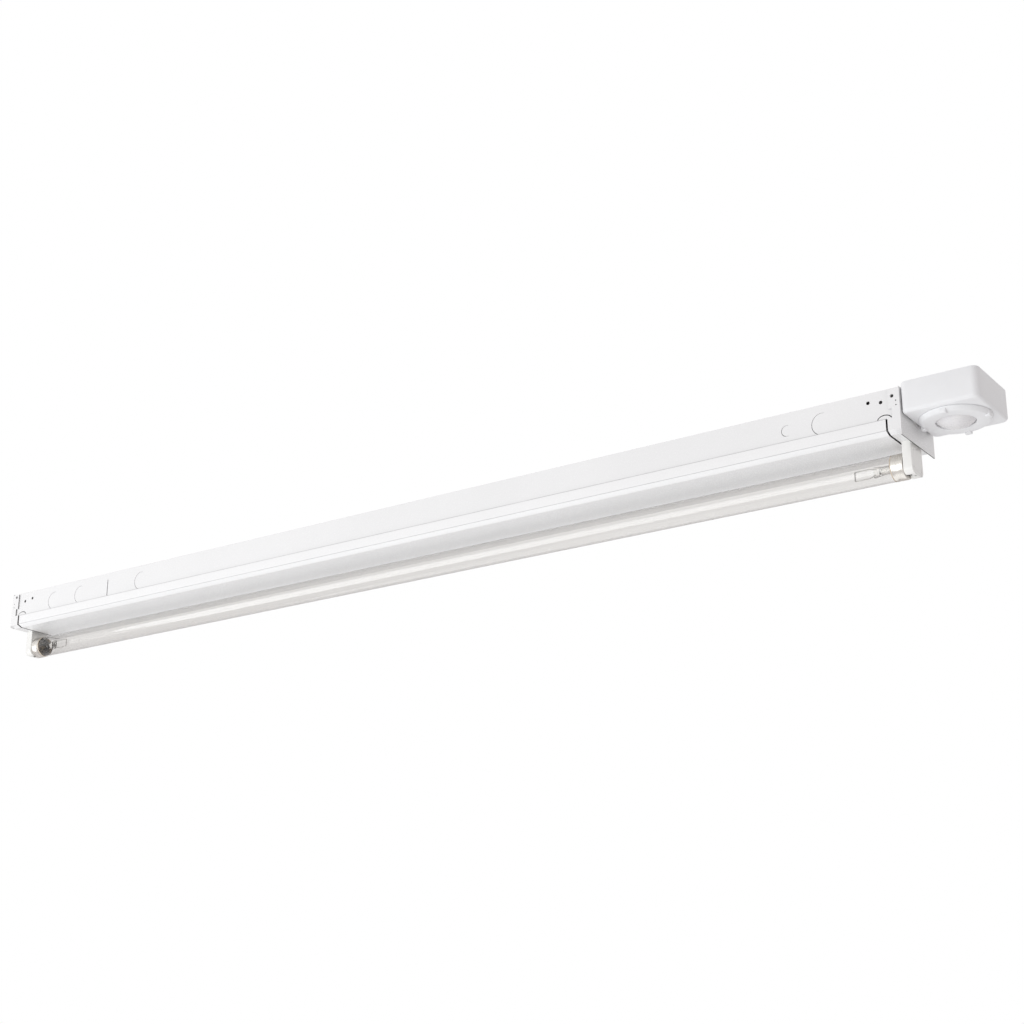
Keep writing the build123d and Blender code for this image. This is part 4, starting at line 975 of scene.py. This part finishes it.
@dataclass
class TubeLamp:
    """The clear lamp: tube, stems, electrodes, caps, the cement between and a ring of painted shade inside
    each cap.
    """

    dresser: Dresser
    wall: float = 0.8 * MM
    neck_step: float = 0.4 * MM
    taper: float = 1.5 * MM
    turn_in: float = 2.0 * MM
    mouth: float = 8.2 * MM
    sides: int = 96

    def __post_init__(self) -> None:
        """Takes the lamp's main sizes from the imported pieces."""
        low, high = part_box("lamp_glass")
        self.axis = Vector((0.0, 0.0, (low.z + high.z) / 2))
        self.radius = (high.z - low.z) / 2
        self.glass_end = high.x
        cap_low, cap_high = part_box("lamp_cap_right")
        self.cap_start = cap_low.x
        self.cap_end = cap_high.x
        self.cap_radius = (cap_high.z - cap_low.z) / 2
        self.neck = self.radius - self.neck_step

    def build(self) -> None:
        """Builds the tube and both ends."""
        self.tube()
        for maker, right, left, finish, slot_node in (
            (self.stem, "pinched_stem_right", "pinched_stem_left", "stem_glass", "stem"),
            (self.electrode, "wound_electrode_right", "wound_electrode_left", "electrode_wire", "electrode"),
            (self.cap, "rolled_cap_right", "rolled_cap_left", "cap_metal", "lamp_cap"),
            (self.cement, "cap_cement_right", "cap_cement_left", "cap_cement", ""),
            # A dark ring of painted shade inside each cap.
            (self.shade_ring, "cap_shade_ring_right", "cap_shade_ring_left", "painted_cap_shade", ""),
        ):
            bench = maker(right).smooth()
            other = bench.mirrored(left)
            for made, end in ((bench, "right"), (other, "left")):
                nodes = (f"{slot_node}_{end}",) if slot_node else ()
                made.deliver(self.dresser, "lamp", (finish,), *nodes)

    def side_outline(self, inset: float) -> list[tuple[float, float]]:
        """Right half of the tube's outline, its outer skin or its inner one.

        Args:
            inset: How far inside the outer skin it runs.

        Returns:
            The points from the shoulder to the mouth.
        """
        shoulder = self.cap_start - self.taper
        points = []
        for index in range(7):
            share = index / 6
            drop = (self.radius - self.neck) * (1.0 - math.cos(math.pi * share)) / 2
            points.append((shoulder + self.taper * share, self.radius - drop - inset))
        corner = (self.glass_end - self.turn_in, self.neck - self.turn_in)
        points += arc(corner, self.turn_in - inset, 90.0, 0.0, 6)
        points.append((self.glass_end - inset, self.mouth))
        return points

    def tube(self) -> None:
        """The tube, necked and turned in at both ends."""
        outer = self.side_outline(0.0)
        inner = self.side_outline(self.wall)
        skin = [(-x, r) for x, r in reversed(outer)] + outer
        bore = [(-x, r) for x, r in reversed(inner)] + inner
        bench = Bench("lamp_tube").draw(self.axis, ALONG, skin + bore[::-1], self.sides, closed=True)
        bench.smooth().deliver(self.dresser, "lamp", ("clear_glass",), "lamp_glass")

    def stem(self, name: str) -> Bench:
        """The flared funnel, pinched flat round the lead wires at its tip.

        Args:
            name: Its name.

        Returns:
            The bench with the right end's piece.
        """
        low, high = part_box("stem_right")
        flare = 9.0 * MM
        tube, wall = 4.2 * MM, 0.9 * MM
        pinch = low.x + 8.0 * MM
        lip = self.mouth - 0.1 * MM
        funnel = []
        for index in range(9):
            share = index / 8
            funnel.append((high.x - flare * share, tube + (lip - tube) * (1.0 - share) ** 2.2))
        inside = [(x + wall * 0.6, r - wall) for x, r in funnel[1:]]
        inside = [(high.x, lip - wall)] + inside
        outline: list[tuple[float, ...]] = [(pinch + wall, tube - wall), *inside[::-1]]
        outline += funnel
        outline += [
            (pinch + 1.0 * MM, tube),
            (pinch - 0.6 * MM, tube * 0.8, tube * 1.08),
            (pinch - 2.0 * MM, 1.5 * MM, 5.2 * MM),
            (low.x + 1.0 * MM, 1.5 * MM, 5.4 * MM),
            (low.x + 0.3 * MM, 1.2 * MM, 5.2 * MM),
            (low.x, 0.7 * MM, 4.6 * MM),
        ]
        return Bench(name).draw(self.axis, ALONG, outline, 40, closed=False)

    def electrode(self, name: str) -> Bench:
        """Two lead wires with the wound coil between their tips.

        Args:
            name: Its name.

        Returns:
            The bench with the right end's piece.
        """
        low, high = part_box("electrode_right")
        wire = 0.35 * MM
        coil_x = low.x + 0.75 * MM
        spread = 4.6 * MM
        parts = []
        for side in (-1.0, 1.0):
            route = (
                (high.x + 3.0 * MM, 0.0, 2.6 * MM),
                (high.x, 0.0, 2.8 * MM),
                (high.x - 3.0 * MM, 0.0, spread),
                (high.x - 8.0 * MM, 0.0, spread),
                (coil_x + 2.0 * MM, 0.0, spread),
                (coil_x, 0.3 * MM, spread),
                (coil_x - 0.4 * MM, 0.0, spread - 0.9 * MM),
            )
            points = [Vector((x, y, self.axis.z + side * z)) for x, y, z in route]
            parts.append(rod(f"{name}_lead", points, wire))
        coil = Bench(f"{name}_coil")
        coil.ring(Vector((0.58 * MM, 0.0, 0.0)), Vector((0.0, 1.0, 0.0)), 0.15 * MM, 8, filled=False)
        turns = 15
        coil.modify(
            "SCREW", angle=math.tau * turns, screw_offset=2.0 * (spread - 0.4 * MM),
            steps=14 * turns, render_steps=14 * turns,
        )
        coil.edit()
        bpy.ops.mesh.select_non_manifold()
        bpy.ops.mesh.edge_face_add()
        bpy.ops.object.mode_set(mode="OBJECT")
        foot = Vector((coil_x, 0.0, self.axis.z - spread + 0.4 * MM))
        coil.close_up().whole(bpy.ops.transform.translate, value=foot)
        return gather(name, (*parts, coil))

    def cap(self, name: str) -> Bench:
        """The metal cup: a rolled mouth, one shallow band and a round shoulder.

        Args:
            name: Its name.

        Returns:
            The bench with the right end's piece.
        """
        start, end, radius, sheet = self.cap_start, self.cap_end, self.cap_radius, 0.4 * MM
        shoulder = 1.0 * MM
        inner = radius - sheet
        band = 0.1 * MM
        outline = [
            (start, inner),
            (start, radius - 0.12 * MM),
            (start + 0.12 * MM, radius),
            (start + 1.3 * MM, radius),
            (start + 1.6 * MM, radius - band),
            (start + 4.6 * MM, radius - band),
            (start + 4.9 * MM, radius),
            *arc((end - shoulder, radius - shoulder), shoulder, 90.0, 0.0, 6),
            (end, self.mouth + 0.1 * MM),
            (end - sheet, self.mouth + 0.1 * MM),
            *arc((end - shoulder, radius - shoulder), shoulder - sheet, 0.0, 90.0, 4),
        ]
        return Bench(name).draw(self.axis, ALONG, outline, 80, closed=True)

    def cement(self, name: str) -> Bench:
        """Cement that shows: a bead at the cap's mouth and a film round the neck.

        Args:
            name: Its name.

        Returns:
            The bench with the right end's piece.
        """
        start = self.cap_start
        film = self.neck + 0.02 * MM
        inner = self.cap_radius - 0.42 * MM
        bead = [
            (start - 0.9 * MM, self.neck + 0.3 * MM),
            (start - 0.45 * MM, self.radius + 0.02 * MM),
            (start - 0.02 * MM, self.cap_radius - 0.08 * MM),
            (start - 0.02 * MM, film),
            (start - 0.5 * MM, film),
        ]
        layer = [
            (start + 0.02 * MM, film),
            (start + 0.02 * MM, inner),
            (start + 4.5 * MM, inner),
            (start + 4.5 * MM, film),
        ]
        bench = Bench(name).draw(self.axis, ALONG, bead, 64, closed=True)
        return bench.join(Bench(f"{name}_film").draw(self.axis, ALONG, layer, 64, closed=True))

    def shade_ring(self, name: str) -> Bench:
        """A dark ring at the back of the cap, seen through the glass: painted shade for the cap's shaded
        inside.

        Args:
            name: Its name.

        Returns:
            The bench with the right end's piece.
        """
        back = self.glass_end + 0.05 * MM
        inner = self.cap_radius - 0.42 * MM
        outline = [
            (back, 9.5 * MM),
            (back, inner - 0.5 * MM),
            (back + 1.2 * MM, inner - 0.9 * MM),
            (back + 1.2 * MM, 9.5 * MM),
        ]
        return Bench(name).draw(self.axis, ALONG, outline, 64, closed=True)


@dataclass
class Sensor:
    """The occupancy sensor: its box with the nipple, its twist ring and its lens."""

    dresser: Dresser
    wall: float = 2.3 * MM
    floor: float = 2.5 * MM
    corner: float = 7.0 * MM
    bottom_round: float = 3.5 * MM
    top_round: float = 0.8 * MM
    opening: float = 28.8 * MM
    nipple_radius: float = 10.4 * MM
    nipple_bore: float = 7.7 * MM
    thread_pitch: float = 1.6 * MM

    def __post_init__(self) -> None:
        """Takes the box's and the ring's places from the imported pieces."""
        self.low, self.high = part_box("sensor_housing")
        washer_low, washer_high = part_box("sensor_washer")
        self.box_left = washer_high.x
        self.nipple_z = (washer_low.z + washer_high.z) / 2
        self.ring_low, self.ring_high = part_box("sensor_ring")
        lens_low, lens_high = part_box("sensor_lens")
        self.lens_low, self.lens_high = lens_low, lens_high
        self.centre = Vector(((lens_low.x + lens_high.x) / 2, (lens_low.y + lens_high.y) / 2, 0.0))

    def build(self) -> None:
        """Builds the box, the ring and the lens."""
        self.housing()
        self.ring()
        self.lens()

    def housing(self) -> None:
        """A deep box with round corners, open at the back, with a threaded nipple."""
        low = Vector((self.box_left, self.low.y, self.low.z))
        high = self.high.copy()
        bench = Bench("moulded_sensor_box").block(low, high)
        bench.round_edges(lambda middle, way: abs(way.z) > 0.9, self.corner, 8)
        for level, width, segments in ((low.z, self.bottom_round, 6), (high.z, self.top_round, 3)):
            bench.round_edges(
                lambda middle, way: abs(middle.z - level) < NEAR and abs(way.z) < 0.1, width, segments
            )
        bench.edit()
        bench.pick(Kind.FACE, lambda middle, normal: normal.z > 0.99 and abs(middle.z - high.z) < NEAR)
        bpy.ops.mesh.inset(thickness=self.wall - self.top_round)
        depth = high.z - low.z - self.floor
        bpy.ops.mesh.extrude_region_move(TRANSFORM_OT_translate={"value": (0.0, 0.0, -depth)})
        bpy.ops.object.mode_set(mode="OBJECT")
        hole = Bench("ring_hole").draw(
            self.centre, UP,
            ((low.z - self.floor, self.opening), (low.z + 2.0 * self.floor, self.opening)),
            96, closed=False,
        )
        bench.cut(hole)
        through = Bench("nipple_hole").draw(
            Vector((0.0, 0.0, self.nipple_z)), ALONG,
            ((low.x - self.wall, self.nipple_bore), (low.x + 2.0 * self.wall, self.nipple_bore)),
            48, closed=False,
        )
        bench.cut(through)
        bench.join(self.nipple(low.x)).smooth(35.0)
        bench.deliver(self.dresser, "fixture", ("sensor_white",), "sensor_housing")

    def nipple(self, box_left: float) -> Bench:
        """The hollow nipple with its thread.

        Args:
            box_left: The box's left side, where it ends.

        Returns:
            The bench with it.
        """
        start = self.low.x
        outline = [(start, self.nipple_bore), (start, self.nipple_radius - 0.8 * MM)]
        count = int((box_left - start - 2.0 * MM) / self.thread_pitch)
        for index in range(count):
            level = start + 0.6 * MM + index * self.thread_pitch
            outline.append((level, self.nipple_radius - 0.7 * MM))
            outline.append((level + self.thread_pitch / 2, self.nipple_radius))
        outline += [
            (start + 0.6 * MM + count * self.thread_pitch, self.nipple_radius - 0.7 * MM),
            (box_left + 0.1 * MM, self.nipple_radius - 0.7 * MM),
            (box_left + 0.1 * MM, self.nipple_bore),
        ]
        return Bench("nipple").draw(Vector((0.0, 0.0, self.nipple_z)), ALONG, outline, 64, closed=True)

    def ring(self) -> None:
        """The twist ring with its skirt, three lugs and four finger grips."""
        proud, radial, width = 1.4 * MM, 5.0 * MM, 6.5 * MM
        lowest = self.ring_low.z + proud
        top = self.low.z - 0.2 * MM
        outer = (self.ring_high.y - self.ring_low.y) / 2
        face = 31.0 * MM
        skirt, skirt_wall = 28.6 * MM, 2.2 * MM
        ledge = lowest + 1.6 * MM
        hole = 18.6 * MM
        slope = top - 0.95 * MM
        outline = [
            (lowest + 0.4 * MM, hole),
            *arc((lowest + 0.4 * MM, hole + 0.4 * MM), 0.4 * MM, 270.0, 180.0, 3)[1:],
            (lowest, face - 0.8 * MM),
            (lowest + 0.2 * MM, face - 0.1 * MM),
            (slope - 0.3 * MM, outer - 0.2 * MM),
            (slope + 0.1 * MM, outer),
            (top, outer),
            (top, skirt),
            (self.ring_high.z, skirt),
            (self.ring_high.z, skirt - skirt_wall),
            (ledge, skirt - skirt_wall),
            (ledge, hole),
        ]
        bench = Bench("twist_ring").draw(self.centre, UP, outline, 128, closed=True)
        lug_low = self.low.z + self.floor + 0.2 * MM
        lug = Bench("lug").block(
            Vector((self.centre.x + skirt - skirt_wall / 2, self.centre.y - 6.0 * MM, lug_low)),
            Vector((self.centre.x + skirt + 2.4 * MM, self.centre.y + 6.0 * MM, lug_low + 1.8 * MM)),
        ).soften(0.3 * MM)
        grip = Bench("grip").block(
            Vector((self.centre.x + outer - radial, self.centre.y - width / 2, lowest - proud)),
            Vector((self.centre.x + outer - 0.05 * MM, self.centre.y + width / 2, slope)),
        )
        grip.round_edges(lambda middle, way: abs(way.z) > 0.9, 1.2 * MM, 4).soften(0.4 * MM)
        bench.join(*lug.around(3, "Z", self.centre), *grip.around(4, "Z", self.centre))
        bench.smooth(35.0).deliver(self.dresser, "lens_ring", ("sensor_white",), "sensor_ring")

    def lens(self) -> None:
        """The thin dome with its hidden rim."""
        rim = (self.lens_high.x - self.lens_low.x) / 2
        radius, wall, thick = 18.4 * MM, 0.9 * MM, 1.0 * MM
        top = self.lens_high.z
        ledge = top - thick
        height = ledge - self.lens_low.z
        bow = (radius**2 + height**2) / (2.0 * height)
        reach = math.degrees(math.asin(radius / bow))
        middle = self.lens_low.z + bow
        dome = arc((middle, 0.0), bow, 180.0 - 1.2, 180.0 - reach, 16)
        inner = arc((middle, 0.0), bow - wall, 180.0 - reach + 1.5, 180.0 - 1.2, 16)
        outline = [*dome, (ledge, rim), (top, rim), (top, radius - wall), *inner]
        bench = Bench("domed_lens").draw(self.centre, UP, outline, 96, closed=False)
        bench.smooth(35.0).deliver(self.dresser, "lens_ring", ("lens_white",), "sensor_lens")


@dataclass
class Gear:
    """What lies inside the channel: the ballast's pieces and the ribbed wire connectors."""

    dresser: Dresser
    ribs: int = 14

    def build(self) -> None:
        """Softens the moulded and folded pieces and builds the connectors."""
        for node, name, width in (
            ("ballast_case", "folded_ballast_case", 0.5 * MM),
            ("ballast_base", "folded_ballast_base", 0.2 * MM),
            ("ballast_bushings", "moulded_bushings", 0.3 * MM),
            ("ballast_choke", "taped_chokes", 0.6 * MM),
            ("ballast_capacitors", "sleeved_capacitors", 0.7 * MM),
            ("nipple_locknut", "cast_locknut", 0.4 * MM),
            ("sensor_relay", "moulded_relay", 0.4 * MM),
            ("motion_detector", "drawn_detector_can", 0.25 * MM),
        ):
            bench = Bench(name).trace(node).soften(width, 2, 40.0)
            bench.smooth(35.0).deliver(self.dresser, node_body(node), (self.dresser.slots[node],), node)
        self.connectors()

    def connectors(self) -> None:
        """Three twist-on connectors: a tapered shell with ribs, lying along the channel."""
        node = "wire_connectors"
        low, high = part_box(node)
        radius = (high.z - low.z) / 2
        length = high.x - low.x
        made = []
        for place in solid_middles(node, 3):
            mouth = Vector((low.x, place.y, place.z))
            shell = radius - 0.7 * MM
            outline = [
                (5.0 * MM, shell * 0.72),
                (0.3 * MM, shell * 0.86),
                (0.0, shell * 0.92),
                (0.2 * MM, radius - 0.1 * MM),
                (2.2 * MM, radius),
                (2.6 * MM, shell),
                (length * 0.62, shell * 0.93),
                (length - 1.2 * MM, shell * 0.62),
                (length - 0.3 * MM, shell * 0.5),
                (length, shell * 0.3),
            ]
            bench = Bench(f"connector_{place.y:.3f}").draw(mouth, ALONG, outline, 56, closed=False)
            rib = Bench("rib").block(
                mouth + Vector((2.8 * MM, -0.28 * MM, shell * 0.8)),
                mouth + Vector((length * 0.62, 0.28 * MM, radius - 0.1 * MM)),
            ).soften(0.15 * MM)
            made.append(bench.join(*rib.around(self.ribs, "X", mouth)))
        whole = gather("ribbed_connectors", made)
        whole.smooth(35.0).deliver(self.dresser, "fixture", (self.dresser.slots[node],), node)


@dataclass
class Studio:
    """Pale floor, white surround, soft lamps and the camera."""

    camera_place: tuple[float, float, float] = (1.17901, -1.46705, -0.63399)
    yaw: float = 125.026
    pitch: float = 18.839
    roll: float = 0.153
    focal_pixels: float = 1759.2
    frame_pixels: float = 1024.0
    sensor_width: float = 36.0
    floor_drop: float = 2.6
    floor_size: float = 60.0
    world_light: float = 0.62
    world_colour: Colour = (1.0, 0.958, 0.96)
    lamp_colour: Colour = (0.945, 0.985, 1.0)
    floor_colour: Colour = (0.9, 0.9, 0.9)

    def build(self) -> None:
        """Makes the whole studio."""
        self.make_world()
        self.make_floor()
        self.make_lamps()
        self.make_camera()
        bpy.context.scene.view_settings.view_transform = "Standard"

    def make_world(self) -> None:
        """White to the camera and in gloss and glass, and a dimmer even light on everything else."""
        world = bpy.data.worlds.new("studio_surround")
        bpy.context.scene.world = world
        world.use_nodes = True
        world.node_tree.nodes.clear()
        kit = NodeTree(world.node_tree)
        seen = kit.add("ShaderNodeBackground", Color=(1.0, 1.0, 1.0, 1.0), Strength=1.0)
        light = kit.add("ShaderNodeBackground", Color=(*self.world_colour, 1.0), Strength=self.world_light)
        path = kit.add("ShaderNodeLightPath").outputs
        choice = path["Is Camera Ray"]
        for ray in ("Is Transmission Ray", "Is Glossy Ray"):
            either = kit.add("ShaderNodeMath", operation="MAXIMUM")
            kit.join(choice, either.inputs[0])
            kit.join(path[ray], either.inputs[1])
            choice = either.outputs[0]
        mixed = kit.mix(choice, light.outputs[0], seen.outputs[0])
        kit.add("ShaderNodeOutputWorld", Surface=mixed)

    def make_floor(self) -> None:
        """A wide pale floor, a room's height below the fixture."""
        bpy.ops.object.select_all(action="DESELECT")
        bpy.ops.mesh.primitive_plane_add(size=self.floor_size, location=(0.0, 0.0, -self.floor_drop))
        floor = bpy.context.object
        floor.name = "studio_floor"
        bpy.ops.object.transform_apply(location=True, rotation=False, scale=True)
        material = bpy.data.materials.new("pale_floor")
        material.use_nodes = True
        shader = material.node_tree.nodes["Principled BSDF"]
        shader.inputs["Base Color"].default_value = (*self.floor_colour, 1.0)
        shader.inputs["Roughness"].default_value = 0.8
        floor.data.materials.append(material)

    def make_lamps(self) -> None:
        """Soft lamps: a wide panel at the front, a broad one above and a broad one below."""
        for name, place, aim, size, power in (
            ("front_panel", (-1.0, -2.6, -0.8), (0.0, 0.0, 0.0), (4.0, 2.2), 54.0),
            ("top_lamp", (-0.3, 0.4, 2.6), (0.0, 0.0, 0.0), (3.0, 3.0), 14.0),
            ("low_lamp", (-0.3, 0.4, -2.4), (-0.1, 0.0, 0.0), (3.0, 3.0), 18.0),
        ):
            lamp = bpy.data.lights.new(name, "AREA")
            lamp.shape = "RECTANGLE"
            lamp.size, lamp.size_y = size
            lamp.energy = power
            lamp.color = self.lamp_colour
            holder = bpy.data.objects.new(name, lamp)
            bpy.context.scene.collection.objects.link(holder)
            holder.location = place
            way = Vector(aim) - Vector(place)
            holder.rotation_euler = way.to_track_quat("-Z", "Y").to_euler()
            holder.visible_camera = False

    def make_camera(self) -> None:
        """Puts the camera where the photograph was taken from, with its lens."""
        yaw, pitch, roll = (math.radians(angle) for angle in (self.yaw, self.pitch, self.roll))
        level = Vector((math.cos(yaw), math.sin(yaw), 0.0)) * math.cos(pitch)
        ahead = level + UP * math.sin(pitch)
        turn = ahead.to_track_quat("-Z", "Y") @ Quaternion(UP, roll)
        data = bpy.data.cameras.new("photo_camera")
        data.sensor_width = self.sensor_width
        data.lens = self.focal_pixels / self.frame_pixels * self.sensor_width
        camera = bpy.data.objects.new("photo_camera", data)
        bpy.context.scene.collection.objects.link(camera)
        camera.matrix_world = Matrix.LocRotScale(Vector(self.camera_place), turn, None)
        bpy.context.scene.camera = camera


def main() -> None:
    """Builds the pieces in order and dresses them."""
    logging.basicConfig(level=logging.INFO, format="%(message)s")
    dresser = Dresser(frame)
    dresser.dress_nodes()
    for section in (
        SheetMetal(dresser), Lampholders(dresser), TubeLamp(dresser), Sensor(dresser), Gear(dresser)
    ):
        section.build()
    Studio().build()


if __name__ == "__main__":
    main()
